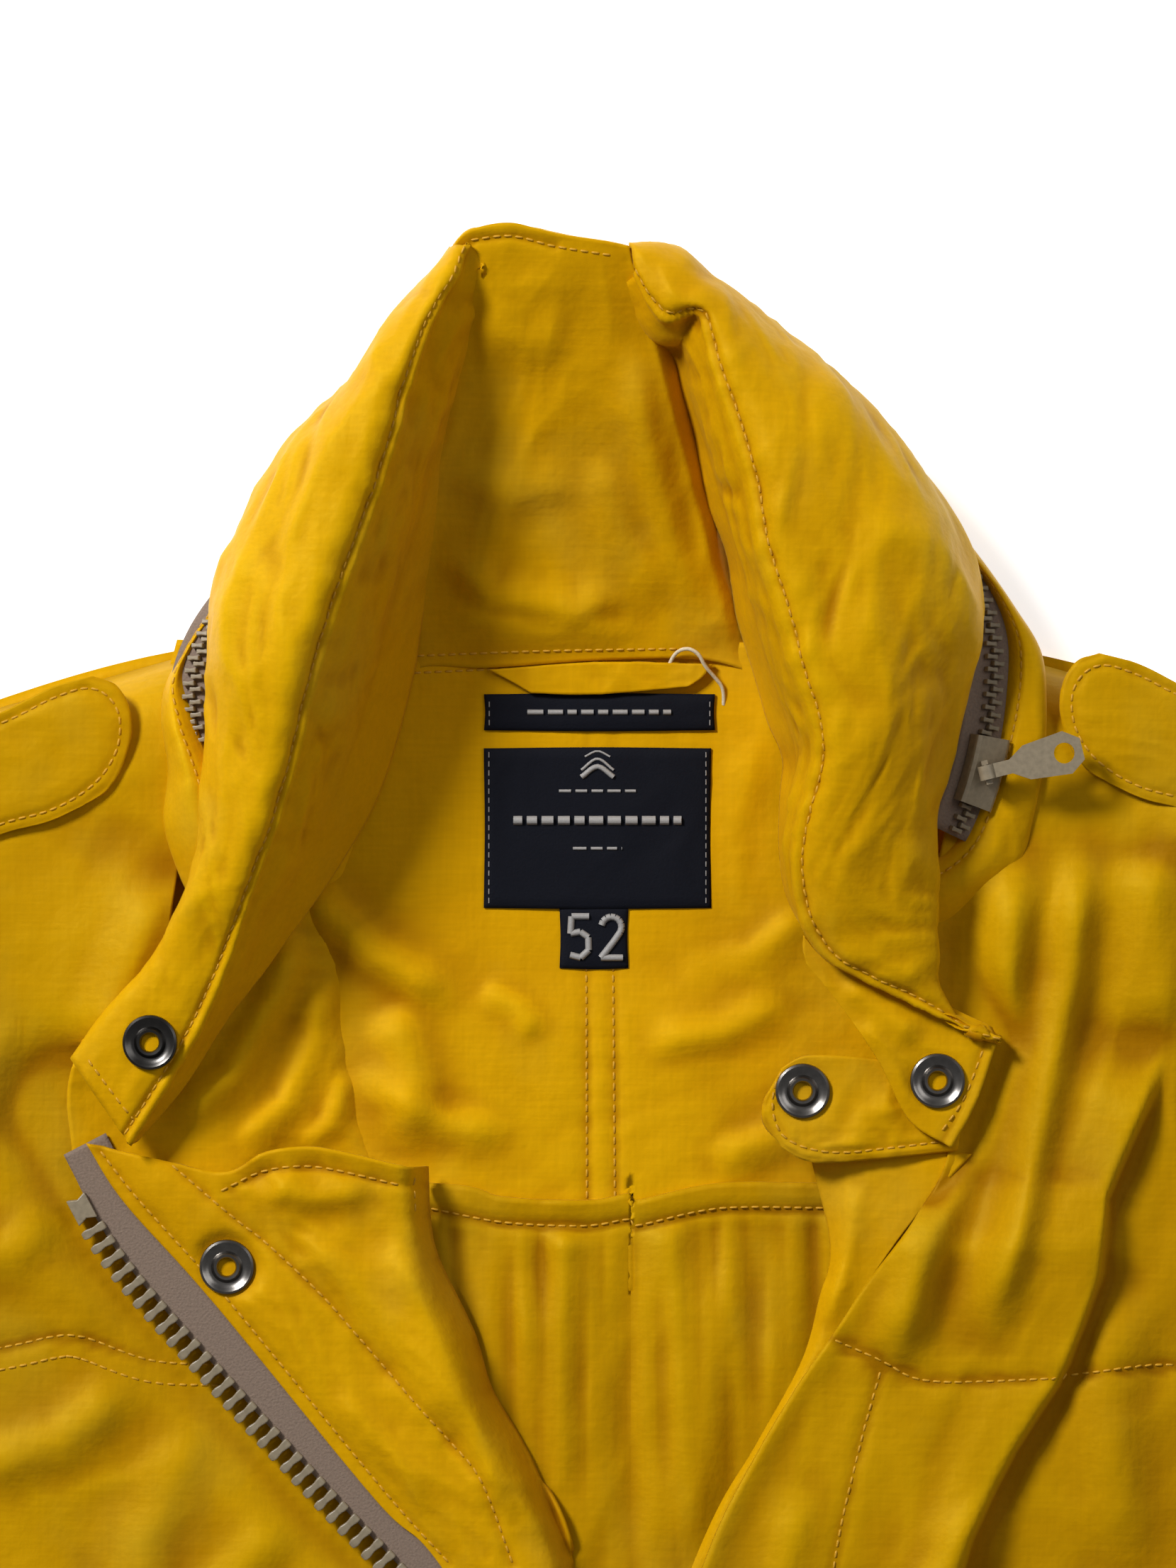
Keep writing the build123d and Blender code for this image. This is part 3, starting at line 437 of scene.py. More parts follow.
def cloth_sheet(name, points, material, body, nodes=(), thick=1.1,
                blended=None):
    """A sheet of cloth through a grid of points, given its thickness and its place in the frame."""
    placed = to_metres(points)
    rows, cols = placed.shape[:2]
    mesh = bpy.data.meshes.new(name)
    faces = [(i * cols + j, i * cols + j + 1, (i + 1) * cols + j + 1, (i + 1) * cols + j)
             for i in range(rows - 1) for j in range(cols - 1)]
    mesh.from_pydata(placed.reshape(-1, 3).tolist(), [], faces)
    piece = bpy.data.objects.new(name, mesh)
    bpy.context.collection.objects.link(piece)
    mesh.materials.append(material)
    mesh.polygons.foreach_set("use_smooth", [True] * len(mesh.polygons))
    BACKS[name] = BVHTree.FromPolygons([Vector(p) for p in placed.reshape(-1, 3)], faces)
    # Each point's height above its surroundings, which the cloth finishes read to paint shade into hollows
    # and a paler tint onto ridges.
    hollow = piece.data.attributes.new("hollow", "FLOAT", "POINT")
    hollow.data.foreach_set("value", hollows(np.array(points, float)).ravel())
    wall = piece.modifiers.new("thickness", "SOLIDIFY")
    wall.thickness = thick * MM
    wall.offset = -1.0
    bpy.context.view_layer.objects.active = piece
    bpy.ops.object.modifier_apply(modifier=wall.name)
    if nodes:
        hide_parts(*nodes)
    if blended:
        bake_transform(piece)
    else:
        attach(piece, body)
    return piece


def surface(name, x, y, top=0.2):
    """The height and slope of a sheet under a place, looking down; all in metres."""
    hit, normal, _, _ = BACKS[name].ray_cast(Vector((x, y, top)), Vector((0, 0, -1)))
    return hit, normal


# %% Stitches
STITCHES = {}
STITCH_LONG = 2.4
STITCH_GAP = 0.6


def sew(body, name, lines, offset=0.0, pitch=STITCH_LONG + STITCH_GAP):
    """Rows of stitches on a sheet, along lines seen from above. They are made together at the end."""
    for line in lines:
        run = sum(math.dist(a, b) for a, b in zip(line, line[1:]))
        path = smooth([p[:2] for p in line], max(int(run / pitch), 2))
        if offset:
            step = np.gradient(path, axis=0)
            step /= np.linalg.norm(step, axis=1)[:, None] + 1e-9
            path = path + np.stack([-step[:, 1], step[:, 0]], axis=1) * offset
        for a, b in zip(path, path[1:]):
            middle = to_metres([(a[0] + b[0]) / 2, (a[1] + b[1]) / 2, 0])
            hit, normal = surface(name, middle[0], middle[1])
            if hit is None:
                continue
            normal = normal if normal.z > 0 else -normal
            way = Vector((b[0] - a[0], b[1] - a[1], 0)).normalized()
            way = (way - normal * way.dot(normal)).normalized()
            STITCHES.setdefault(body, []).append((hit, way, normal))


def taken_away(piece):
    """The corners and faces of a modelled piece, which is removed: it is only copied from here."""
    shape = (np.array([v.co[:] for v in piece.data.vertices]),
             [tuple(f.vertices) for f in piece.data.polygons])
    bpy.data.objects.remove(piece)
    return shape


def model_stitch():
    """One stitch along X: a short bar of thread with rounded, sunken ends."""
    bpy.ops.mesh.primitive_cylinder_add(vertices=6, radius=0.36 * MM, depth=STITCH_LONG * 0.62 * MM,
                                        rotation=(0, math.pi / 2, 0))
    bar = bpy.context.object
    bpy.ops.object.transform_apply(location=False, rotation=True, scale=False)
    bpy.ops.object.mode_set(mode="EDIT")
    for side in (-1, 1):
        bpy.ops.mesh.select_all(action="DESELECT")
        bpy.ops.mesh.select_mode(type="FACE")
        cage = bmesh.from_edit_mesh(bar.data)
        cage.faces.ensure_lookup_table()
        for face in cage.faces:
            face.select = face.normal.x * side > 0.9
        bmesh.update_edit_mesh(bar.data)
        bpy.ops.mesh.extrude_region_move(TRANSFORM_OT_translate={"value": (side * 0.4 * MM, 0, -0.16 * MM)})
        bpy.ops.transform.resize(value=(1, 0.55, 0.55))
    bpy.ops.object.mode_set(mode="OBJECT")
    return taken_away(bar)


def copies(name, shape, places, material):
    """One modelled shape copied to many places: (spot, way along X, way up)."""
    verts, faces = [], []
    for spot, way, up in places:
        over = up.cross(way)
        turn = np.array([way, over, up])
        verts.append(shape[0] @ turn + np.array(spot))
        base = (len(verts) - 1) * len(shape[0])
        faces += [tuple(base + k for k in f) for f in shape[1]]
    mesh = bpy.data.meshes.new(name)
    mesh.from_pydata(np.concatenate(verts).tolist(), [], faces)
    mesh.materials.append(material)
    piece = bpy.data.objects.new(name, mesh)
    bpy.context.collection.objects.link(piece)
    return piece


def make_stitches():
    """Every stitch on a body, as one piece."""
    shape = model_stitch()
    for body, places in STITCHES.items():
        piece = copies(f"stitches_{body}", shape, places, thread)
        piece.data.polygons.foreach_set("use_smooth", [True] * len(piece.data.polygons))
        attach(piece, body)
        print("stitches on", body, len(places))


# %% [markdown]
# ## The inside of the back
# The inner yoke is one smooth panel with a seam down its middle. Below it hangs the loose lining,
# gathered into a doubled hem, so its folds fan out from the stitching.

# %% Outer back
SIDE = [(288, -262), (290, -330), (294, -500), (302, -778)]
ARM = [(236, -34), (214, -62), (200, -98), (197, -131), (200, -165), (214, -202), (240, -236), (288, -262)]
BODY_EDGE = SIDE[::-1] + ARM[-2::-1]


def flip(points):
    """The same points on the other side of the coat."""
    return [(-p[0], *p[1:]) for p in points]


def flat_line(points, z):
    """Plan points lifted to one height."""
    return [(p[0], p[1], z) for p in points]


def back_sheet():
    """The outer back, from hem to neck, a little wavy along its free hem."""
    east, west = flat_line(BODY_EDGE, 1.6), flat_line(flip(BODY_EDGE), 1.6)
    low = flat_line([(-302, -778), (0, -780), (302, -778)], 1.6)
    high = flat_line([(-236, -34), (-120, 3), (0, 8), (120, 3), (236, -34)], 1.6)
    grid = patch(low, high, west, east, 150, 190)
    x, y = grid[..., 0], grid[..., 1]
    grid[..., 2] += 0.5 * crumple(x, y, 60, 11)
    return grid


cloth_sheet("outer_back", back_sheet(), cloth, "coat", ["back_panel"])

# %% Inner yoke
HEM_TOP = [(-150, -149), (-48, -151), (-27, -155), (-3, -156), (9, -154), (11, -156), (35, -151),
           (68, -151), (150, -150)]
CENTRE_SEAMS = [[(-3, 0), (-3.2, -80), (-3.0, -154)], [(4.6, 0), (4.4, -80), (5.0, -154)]]
NECK_SEAM = [(-53, -2.5), (-20, -1), (10, 0), (28, 0)]


def yoke_height(x, y):
    """The soft waves of the inner yoke, and its centre seam."""
    z = 5.8 + 1.3 * crumple(x, y, 46, 21, 30, 2.2) + 1.2 * grain(x / 40, y / 50, 22)
    z += 0.3 * crumple(x, y, 22, 24, -30, 2.4)
    z = folds(x, y, z, [
        ([(-88, -62), (-64, -84), (-38, -98)], 5.0, 7, 5),
        ([(-60, -96), (-52, -120), (-56, -142)], 4.0, 6, 8),
        ([(-34, -92), (-22, -99), (-16, -108)], 2.6, 3, 4),
        ([(-72, -116), (-44, -132), (-24, -136)], 2.8, 5, 5),
        ([(62, -70), (44, -84), (20, -88)], 3.2, 6, 4),
        ([(56, -96), (36, -106), (12, -110)], 2.6, 4, 6),
        ([(70, -120), (50, -136), (30, -144)], 3.0, 5, 5),
        ([(46, -20), (38, -50), (40, -76)], 2.4, 4, 9)])
    for line in CENTRE_SEAMS:
        z += seam(x, y, line, 0.9, 1.8, 0.5)
    return np.maximum(z, 2.6)


def yoke_sheet():
    """The inner yoke, pressed flatter where the labels are sewn on."""
    grid = patch([(p[0], p[1] - 1, 4) for p in HEM_TOP],
                 flat_line([(-120, 6), (-60, 5), (0, 6), (60, 5), (120, 6)], 4),
                 flat_line([(-150, -150), (-140, -70), (-120, 6)], 4),
                 flat_line([(150, -151), (140, -70), (120, 6)], 4),
                 150, 90)
    x, y = grid[..., 0], grid[..., 1]
    flat = np.exp(-np.maximum(np.abs(x) - 30, 0) ** 2 / 300)
    flat *= np.exp(-np.maximum(np.abs(y + 42) - 42, 0) ** 2 / 200)
    grid[..., 2] = yoke_height(x, y) * (1 - 0.75 * flat) + 4.0 * 0.75 * flat
    return grid


cloth_sheet("inner_yoke", yoke_sheet(), lining, "coat", ["back_yoke_lining"])
sew("coat", "inner_yoke", [line[1:] for line in CENTRE_SEAMS])
sew("coat", "inner_yoke", [NECK_SEAM], offset=-1.0)

# %% Lower lining
def lining_sheet():
    """The gathered lining: a flat doubled hem, then folds that fan out and soften downwards."""
    hem = [(p[0], p[1] + 2.0, 9) for p in HEM_TOP]
    top = patch(flat_line([(-150, -330), (0, -330), (150, -330)], 6), hem,
                flat_line([(-150, -330), (-150, -240), (-150, -147)], 6),
                flat_line([(150, -330), (150, -240), (150, -148)], 6), 200, 110)
    x, y = top[..., 0], top[..., 1]
    down = np.interp(x, [p[0] for p in HEM_TOP], [p[1] + 2.0 for p in HEM_TOP]) - y
    gathers = 2.6 * grain(x / 6.5, y / 60 + x / 70, 31) + 5.0 * grain(x / 15, y / 110 + x / 60, 32)
    spread = np.clip((down - 7) / 6, 0, 1) * np.exp(-np.maximum(down - 12, 0) / 95)
    z = 7.4 + 1.4 * np.clip(1 - down / 8, 0, 1) ** 0.5 + gathers * spread
    z += 0.35 * gathers * np.clip(1 - down / 7, 0, 1)
    z += 2.6 * crumple(x, y, 46, 33, 78, 2.2) * np.clip((down - 12) / 40, 0, 1)
    z = folds(x, y, z, [
        ([(-20, -170), (-14, -220), (-20, -262)], 3.2, 9, 6),
        ([(34, -166), (30, -214), (22, -262)], 2.6, 6, 9)])
    z -= 1.1 * np.exp(-((down - 7.4) / 1.5) ** 2)
    top[..., 2] = z
    return top


def hidden_lining():
    """The rest of the lining, inside the closed part of the coat."""
    grid = patch(flat_line([(-284, -758), (0, -760), (284, -758)], 6),
                 flat_line([(-262, -325), (0, -325), (262, -325)], 6),
                 flat_line([(-284, -758), (-262, -325)], 6),
                 flat_line([(284, -758), (262, -325)], 6), 110, 80)
    grid[..., 2] = 5.0 + 1.2 * crumple(grid[..., 0], grid[..., 1], 60, 35)
    return grid


# The lower lining wears the darkened copy of the cloth: painted shade.
cloth_sheet("lower_lining", lining_sheet(), shade_painted_cloth, "coat", ["back_lining"])
cloth_sheet("lining_skirt", hidden_lining(), shade_painted_cloth, "coat")
sew("coat", "lower_lining", [[(p[0], p[1] - 5.3) for p in HEM_TOP[1:-1]]])

# %% [markdown]
# ## Fronts
# The fronts lie over the back with air between. Their outlines come from the armhole, the side seam
# and the line where they turn back. Long soft rolls run down from the neck on the wearer's left,
# where the cloth is pushed up, and broad shallow creases cross the other side.

# %% Front shapes
def drop_to_seams(x, y, height, rounding=9.0):
    """Lets a front fall to the back along its side seam and its shoulder."""
    side, _ = line_distance(np.abs(x), y, SIDE)
    shoulder, _ = line_distance(np.abs(x), y, [(110, 5), (236, -34)])
    near = np.minimum(np.abs(side), np.abs(shoulder) * 1.3)
    return 2.2 + (height - 2.2) * (1 - np.exp(-near / rounding))


RIGHT_INNER = [(-6, -778), (-6, -420), (-6, -330), (-12, -300), (-30, -262), (-58, -225), (-88, -190),
               (-118, -150), (-124, -110), (-118, -50), (-112, 3)]
RIGHT_YOKE_SEAM = [(-290, -215), (-220, -204), (-169, -195), (-155, -192), (-146, -192), (-126, -199),
                   (-104, -200)]


def front_right_height(x, y):
    """Creases of the wearer's right front."""
    z = 18.4 + 3.4 * crumple(x, y, 60, 41, -35, 2.2) + 2.6 * grain(x / 50, y / 70, 42)
    z += 0.9 * crumple(x, y, 30, 43, 50, 2.4)
    z = folds(x, y, z, [
        ([(-120, -58), (-136, -96), (-150, -128)], 4.5, 6, 9),
        ([(-128, -100), (-150, -120), (-178, -128)], 3.4, 6, 7),
        ([(-140, -150), (-166, -168), (-196, -172)], 3.2, 6, 8),
        ([(-130, -204), (-152, -222), (-182, -232)], 3.6, 7, 8),
        ([(-112, -214), (-128, -250), (-132, -290)], 3.2, 7, 9),
        ([(-84, -240), (-104, -262), (-130, -286)], 3.0, 6, 8)])
    z += seam(x, y, RIGHT_YOKE_SEAM, 1.1, 2.0, 0.8)
    zip_line, _ = line_distance(x, y, [(-150, -128), (-132, -158), (-104, -196), (-72, -232), (-44, -262),
                                       (-14, -310)])
    under = np.exp(-np.maximum(np.abs(zip_line) - 15, 0) ** 2 / 60)
    inside = 1 / (1 + np.exp(-np.clip((zip_line - 4) / 3, -30, 30)))
    under = np.maximum(under, inside * np.clip((-100 - y) / 25, 0, 1))
    return z * (1 - under) + np.minimum(z, 16.6) * under


def front_right_sheet():
    """The wearer's right front, from the side seam to the line where it turns back."""
    left = flat_line(flip(BODY_EDGE), 17)
    grid = patch(flat_line([(-302, -778), (-150, -779), (-6, -778)], 17),
                 flat_line([(-236, -34), (-180, -16), (-112, 3)], 17), left, flat_line(RIGHT_INNER, 17),
                 124, 270)
    x, y = grid[..., 0], grid[..., 1]
    grid[..., 2] = drop_to_seams(x, y, front_right_height(x, y))
    return grid


LEFT_INNER = [(6, -778), (6, -420), (6, -335), (20, -285), (33, -248), (46, -223), (58, -203), (67, -190),
              (76, -176), (90, -157), (99, -141), (99, -112), (94, -80), (98, -50), (108, -20), (112, 3)]
LEFT_YOKE_SEAM = [(64, -191), (80, -198), (94, -204), (130, -203), (163, -200), (220, -206), (290, -215)]
SHOULDER_FOLD = [(161, -110), (149, -138), (143, -152), (141, -174), (136, -188), (130, -203), (117, -223),
                 (104, -248), (92, -290)]
FLAP_STITCH = [(80, -201), (74, -223), (67, -255), (62, -300)]


def front_left_height(x, y):
    """The rolls of the wearer's left front."""
    edge, _ = line_distance(x, y, LEFT_INNER)
    raised = np.exp(-(np.maximum(np.abs(edge) - 26, 0) / 22) ** 2) * np.clip((y + 345) / 40, 0, 1)
    raised *= np.clip((-146 - y) / 20, 0, 1)
    z = 18.0 + 6.6 * raised + 2.8 * crumple(x, y, 60, 51, 74, 2.4) + 2.2 * grain(x / 52, y / 80, 52)
    z += 0.9 * crumple(x, y, 28, 53, 66, 2.6)
    z = folds(x, y, z, [
        ([(120, -50), (117, -80), (112, -112), (99, -146), (90, -174), (82, -206)], 9.0, 7, 9, 0.15),
        ([(138, -48), (134, -90), (127, -122), (118, -162), (108, -196)], 8.0, 6, 8, 0.18),
        ([(156, -52), (158, -84), (160, -108)], 5.0, 8, 12),
        (SHOULDER_FOLD, 8.5, 2.2, 20, 0.12),
        ([(150, -172), (146, -212), (150, -262)], 4.0, 8, 10),
        ([(112, -232), (96, -262), (84, -300)], 4.0, 9, 6),
        ([(160, -30), (190, -70), (205, -120)], 4.0, 10, 8),
        ([(60, -230), (52, -262), (40, -300)], 2.6, 5, 7)])
    z += seam(x, y, LEFT_YOKE_SEAM, 1.1, 2.0, 0.8)
    z += seam(x, y, FLAP_STITCH, 0.8, 1.8, 0.5)
    wing, _ = line_distance(x, y, [(94, -60), (95, -82), (112, -107), (100, -138), (92, -146)])
    under = np.exp(-np.maximum(np.abs(wing) - 5, 0) ** 2 / 30)
    return z * (1 - under) + np.minimum(z, 21.5) * under


def front_left_sheet():
    """The wearer's left front, with a soft rise along its turned edge."""
    right = flat_line(BODY_EDGE, 17)
    grid = patch(flat_line([(6, -778), (150, -779), (302, -778)], 17),
                 flat_line([(112, 3), (180, -16), (236, -34)], 17), flat_line(LEFT_INNER, 17),
                 right, 130, 280)
    x, y = grid[..., 0], grid[..., 1]
    grid[..., 2] = drop_to_seams(x, y, front_left_height(x, y))
    edge, _ = line_distance(x, y, LEFT_INNER)
    grid[..., 2] += 1.4 * np.exp(-(np.abs(edge) / 4.0) ** 2) * (y > -330)
    return grid


# Both fronts wear the darkened copy of the cloth: painted shade.
cloth_sheet("right_front", front_right_sheet(), shade_painted_cloth, "coat", ["front_right"])
cloth_sheet("left_front", front_left_sheet(), shade_painted_cloth, "coat", ["front_left"])
sew("coat", "right_front", [RIGHT_YOKE_SEAM])
sew("coat", "right_front", [RIGHT_YOKE_SEAM], offset=-6.0)
sew("coat", "left_front", [LEFT_YOKE_SEAM, FLAP_STITCH])


# %% [markdown]
# ## Collar
# The stand collar is thick, because a hood is rolled up inside it. Each side is lofted from cuts:
# from the lining up its inner face, over the stitched edge, across the puffed roll and round under
# it to the zip. The back of the stand is a plain sheet between the two rolls.

# %% Lofts
def loft(stations, across, along, mark):
    """A sheet through cuts with the same number of points; also the way from one marked point."""
    lines = [smooth([cut[k] for cut in stations], along) for k in range(len(stations[0]))]
    rows, ways = [], []
    for i in range(along + 1):
        row, way = smooth([line[i] for line in lines], across, mark)
        rows.append(row)
        ways.append(way)
    grid = np.array(rows)
    run = np.concatenate([[0], np.cumsum(np.linalg.norm(np.diff(lines[mark], axis=0), axis=1))])
    return grid, np.array(ways), np.repeat(run[:, None], across + 1, axis=1)


def normals_of(grid):
    """The way out of a sheet at each of its points."""
    out = np.cross(np.gradient(grid, axis=1), np.gradient(grid, axis=0))
    return out / (np.linalg.norm(out, axis=2)[..., None] + 1e-9)


def facing_up(grid, *others):
    """The sheet with its rows in the order that makes its outside face up."""
    if normals_of(grid)[..., 2].mean() > 0:
        return (grid, *others)
    return tuple(a[::-1] for a in (grid, *others))


def roll_cut(inner, ridge, out, puff=4.0, tuck=7.0):
    """One cut through the rolled collar, from its foot inside to where it turns under."""
    a, b, c = (np.array(p, float) for p in (inner, ridge, out))

    def at(p, q, share, height):
        """A spot part of the way from one point to another, at a height of its own."""
        spot = p + (q - p) * share
        spot[2] = height
        return spot

    top = b[2] + puff
    return [a, at(a, b, 0.45, a[2] + 0.42 * (b[2] - a[2])), at(a, b, 0.88, a[2] + 0.86 * (b[2] - a[2])), b,
            at(b, c, 0.22, b[2] + 0.8 * puff), at(b, c, 0.5, top - 0.12 * (top - c[2])),
            at(b, c, 0.82, c[2] + 0.62 * (top - c[2])), c, at(b, c, 0.9, c[2] - tuck)]


# %% Collar shapes
RIGHT_CUTS = [  # inner foot, stitched edge, outer limit
    ((-33, 111, 40), (-36, 116, 44), (-39.5, 114.5, 41)),
    ((-34, 107, 37), (-40, 106, 47), (-46, 104.5, 40)),
    ((-34, 100, 33), (-46, 94, 50), (-58, 91, 38)),
    ((-36, 84, 26), (-52, 76, 53), (-73, 73, 35)),
    ((-42, 60, 19), (-57, 57, 54), (-88, 57, 34)),
    ((-45, 40, 14), (-64, 36, 55), (-99, 36, 33)),
    ((-49, 18, 9), (-72, 14, 55), (-107, 15, 33)),
    ((-53, -6, 7), (-79, -9, 53), (-109, -6, 33)),
    ((-59, -28, 7), (-84, -29, 49), (-109, -26, 34)),
    ((-66, -46, 9), (-90, -48, 45), (-112, -46, 35)),
    ((-76, -62, 12), (-97, -66, 40), (-115, -64, 33)),
    ((-90, -82, 17), (-104, -86, 35), (-123, -82, 30)),
    ((-105, -102, 21), (-113, -106, 32), (-135, -97, 29)),
    ((-118, -122, 24), (-123, -123, 31), (-143, -106, 28)),
    ((-130, -136, 26), (-132, -137, 29.5), (-148.5, -113, 28)),
]
LEFT_CUTS = [
    ((9, 106, 38), (11, 107.5, 44), (9, 114.5, 41.5)),
    ((12, 96, 32), (15, 98, 46), (15, 115, 42)),
    ((16, 90, 28), (20, 94, 48), (23, 112, 41)),
    ((21, 84, 24), (28, 96, 49), (36, 103, 39)),
    ((23, 76, 20), (31, 84, 51), (52, 90, 36)),
    ((27, 64, 16), (37, 66, 53), (70, 76, 34)),
    ((31, 46, 12), (42, 49, 54), (86, 58, 33)),
    ((37, 30, 9), (45, 31, 55), (102, 38, 32)),
    ((40, 12, 7), (51, 12, 55), (108, 16, 32)),
    ((45, -4, 6), (55, -3, 54), (104, -4, 32)),
    ((49, -18, 7), (60, -18, 52), (100, -21, 33)),
    ((53, -28, 9), (61, -29, 49), (96, -38, 35)),
    ((52, -40, 12), (57, -44, 45), (94, -52, 35)),
    ((52, -56, 15), (55, -58, 41), (95, -66, 34)),
    ((55, -70, 18), (57, -72, 38), (95, -80, 33)),
    ((62, -80, 21), (64, -84, 35), (96, -92, 31)),
    ((74, -87, 23), (76, -90.5, 33), (101, -100, 30)),
    ((88, -94, 24), (90, -97.5, 32), (107, -105, 30)),
    ((111, -105, 26), (112, -107.5, 30), (114, -107, 29)),
]


def collar_side(cuts, seed, puckers=1.0):
    """A rolled side of the collar, with creases that run along it and puckers at its stitching."""
    rolls = [roll_cut(*cut, puff=4.0 * min(1.0, (cut[1][2] - 28) / 20)) for cut in cuts]
    grid, way, run = loft(rolls, 84, 150, 3)
    out = normals_of(grid)
    if out[..., 2].mean() < 0:
        out = -out
    outer = np.clip(way / 9, 0, 1)
    wide = np.clip((grid[..., 2] - 24) / 12, 0.15, 1)
    rise = 3.6 * crumple(run, way, 30, seed, 12, 2.4) * outer * wide
    rise += 2.4 * grain(run / 40, way / 26, seed + 7) * outer * wide
    rise += 1.2 * crumple(run, way, 13, seed + 1, -20, 1.8) * np.clip(np.abs(way) / 8, 0, 1) * wide
    rise += 3.0 * crumple(run, way, 26, seed + 2, 70, 1.7) * np.clip(-way / 9, 0, 1) * wide
    near = np.exp(-(np.abs(way - 3) / 7) ** 2)
    rise += puckers * 1.1 * grain(run / 6.5, way / 14, seed + 3) * near
    rise -= 1.0 * np.exp(-((way - 3.1) / 1.1) ** 2)
    rise += 0.7 * np.exp(-((way - 0.9) / 1.3) ** 2)
    grid = grid + out * rise[..., None]
    return facing_up(grid, way)


def stitch_row(name, body, grid, way, offset, gap=3.0):
    """A row of stitches along a loft, a fixed way from its marked edge."""
    spots = []
    for row, ways in zip(grid, way):
        spots.append([np.interp(offset, ways, row[:, k]) for k in range(3)])
    sew(body, name, [spots], pitch=gap)


right_side, right_way = collar_side(RIGHT_CUTS, 61)
cloth_sheet("collar_roll_right", right_side, cloth, "coat", ["collar_wing_right", "collar_inner"], thick=1.6)
left_side, left_way = collar_side(LEFT_CUTS, 71)
cloth_sheet("collar_roll_left", left_side, cloth, "coat", ["collar_outer", "hood_roll"], thick=1.6)
stitch_row("collar_roll_right", "coat", right_side, right_way, 3.1)
stitch_row("collar_roll_left", "coat", left_side, left_way, 3.1)

# %% Back of the stand
BACK_CREASE = [(37, -4), (37, 8), (32, 28), (24, 59), (16, 88), (12, 104)]


def stand_back():
    """The inside of the stand behind the neck, leaning up and away."""
    bottom = [(-60, -20, 7), (-53, -3, 6.5), (-30, -2, 6), (0, 0, 6), (26, 0.5, 6.5), (40, -2, 6.5),
              (50, -8, 5)]
    top = [(-41.5, 112, 40), (-39, 117.5, 43), (-34, 120.6, 44.5), (-24, 122, 45), (-12, 119, 44.5),
           (4, 116.5, 43), (12, 114, 39), (20, 108, 32)]
    left = [(-60, -20, 7), (-58, 10, 8), (-54, 36, 14), (-48, 62, 22), (-44, 90, 33), (-41.5, 112, 40)]
    right = [(50, -8, 5), (46, 18, 5), (38, 46, 7), (29, 72, 12), (24, 94, 22), (20, 108, 32)]
    grid = patch(bottom, top, left, right, 110, 120)
    x, y = grid[..., 0], grid[..., 1]
    lean = np.clip(y / 120, 0, 1)
    z = 6 + 39 * lean ** 1.25
    past, _ = line_distance(x, y, BACK_CREASE)
    z -= 16 * np.clip(-past / 9, 0, 1) ** 1.3 * np.clip((y + 4) / 30, 0.1, 1)
    z += 2.5 * crumple(x, y, 34, 81, 80, 2.2) * np.clip((118 - y) / 14, 0, 1) * np.clip((y - 3) / 8, 0, 1)
    z = folds(x, y, z, [
        ([(-46, 34), (-30, 18), (-6, 14), (12, 20)], 3.0, 7, 4),
        ([(-44, 56), (-24, 46), (-4, 52)], 2.0, 8, 5),
        ([(-36, 96), (-20, 88), (-6, 92)], 1.8, 7, 6),
        ([(8, 92), (14, 62), (22, 30), (30, 10)], 3.4, 5, 6),
        ([(-2, 60), (8, 34), (20, 14)], 2.6, 5, 7),
        ([(-44, 14), (-20, 8), (16, 8)], 1.8, 4, 5)])
    z += seam(x, y, [(p[0], p[1] - 3.4) for p in top[:5]], 0.8, 1.4, 0.6)
    grid[..., 2] = np.maximum(z, 4.4)
    return grid


cloth_sheet("collar_back", stand_back(), cloth, "coat", thick=1.4)
TOP_HEM = [(-36, 117.2), (-24, 118.4), (-12, 115.5), (4, 113)]
sew("coat", "collar_back", [TOP_HEM])
sew("coat", "collar_back", [[(-52, 1.4), (-20, 2.6), (10, 3.2), (26, 3.4)]])

# %% Outer bands of the collar, below the zip
def band_cut(inner, out, z_in, z_out, drop=17.0):
    """From under the tape's outer edge, over the band and down to the shoulder."""
    a, b = np.array([*inner, z_in], float), np.array([*out, z_out], float)
    mid = (a + b) / 2
    mid[2] = max(z_in, z_out) + 1.2
    way = (b - a) / (np.linalg.norm((b - a)[:2]) + 1e-9)
    low = b + way * 1.0
    low[2] = drop
    sunk = a - way * 3.0
    sunk[2] = z_in - 3.0
    return [sunk, a, mid, b, low]


# each cut: inner and outer place, their heights, and how low the cloth drops
RIGHT_BAND = [((-60, 70), (-66, 76), 22, 19, 2), ((-78, 52), (-84, 60), 23, 20, 2),
              ((-92, 32), (-98, 38), 24, 21, 3), ((-104, 16), (-108, 19), 25, 22, 8),
              ((-112, 8), (-115, 6), 26, 23, 17), ((-118, -5), (-121.5, -6), 27, 24, 17),
              ((-116, -18), (-123, -17), 31, 25, 17), ((-111, -32), (-121, -31), 34, 26, 17),
              ((-106, -46), (-122, -46), 33, 26, 17), ((-102, -58), (-118, -60), 30, 24, 17),
              ((-98, -70), (-112, -73), 26, 22, 17)]
LEFT_BAND = [((50, 80), (56, 84), 22, 19, 2), ((72, 64), (80, 63), 23, 20, 2),
             ((88, 46), (95, 46), 24, 21, 3), ((104, 30), (109, 28), 25, 23, 10),
             ((113, 18), (118, 15), 25, 24, 17), ((118, 6), (125, 3), 25, 24, 17),
             ((118, -8), (126.5, -10), 25, 24, 17), ((115, -24), (126, -27), 24, 23, 17),
             ((111, -38), (123, -44), 24, 22, 17), ((106, -50), (119, -58), 24, 21, 17),
             ((99, -57), (109, -67), 24, 20, 17), ((92, -60), (96, -78), 24, 20, 17)]
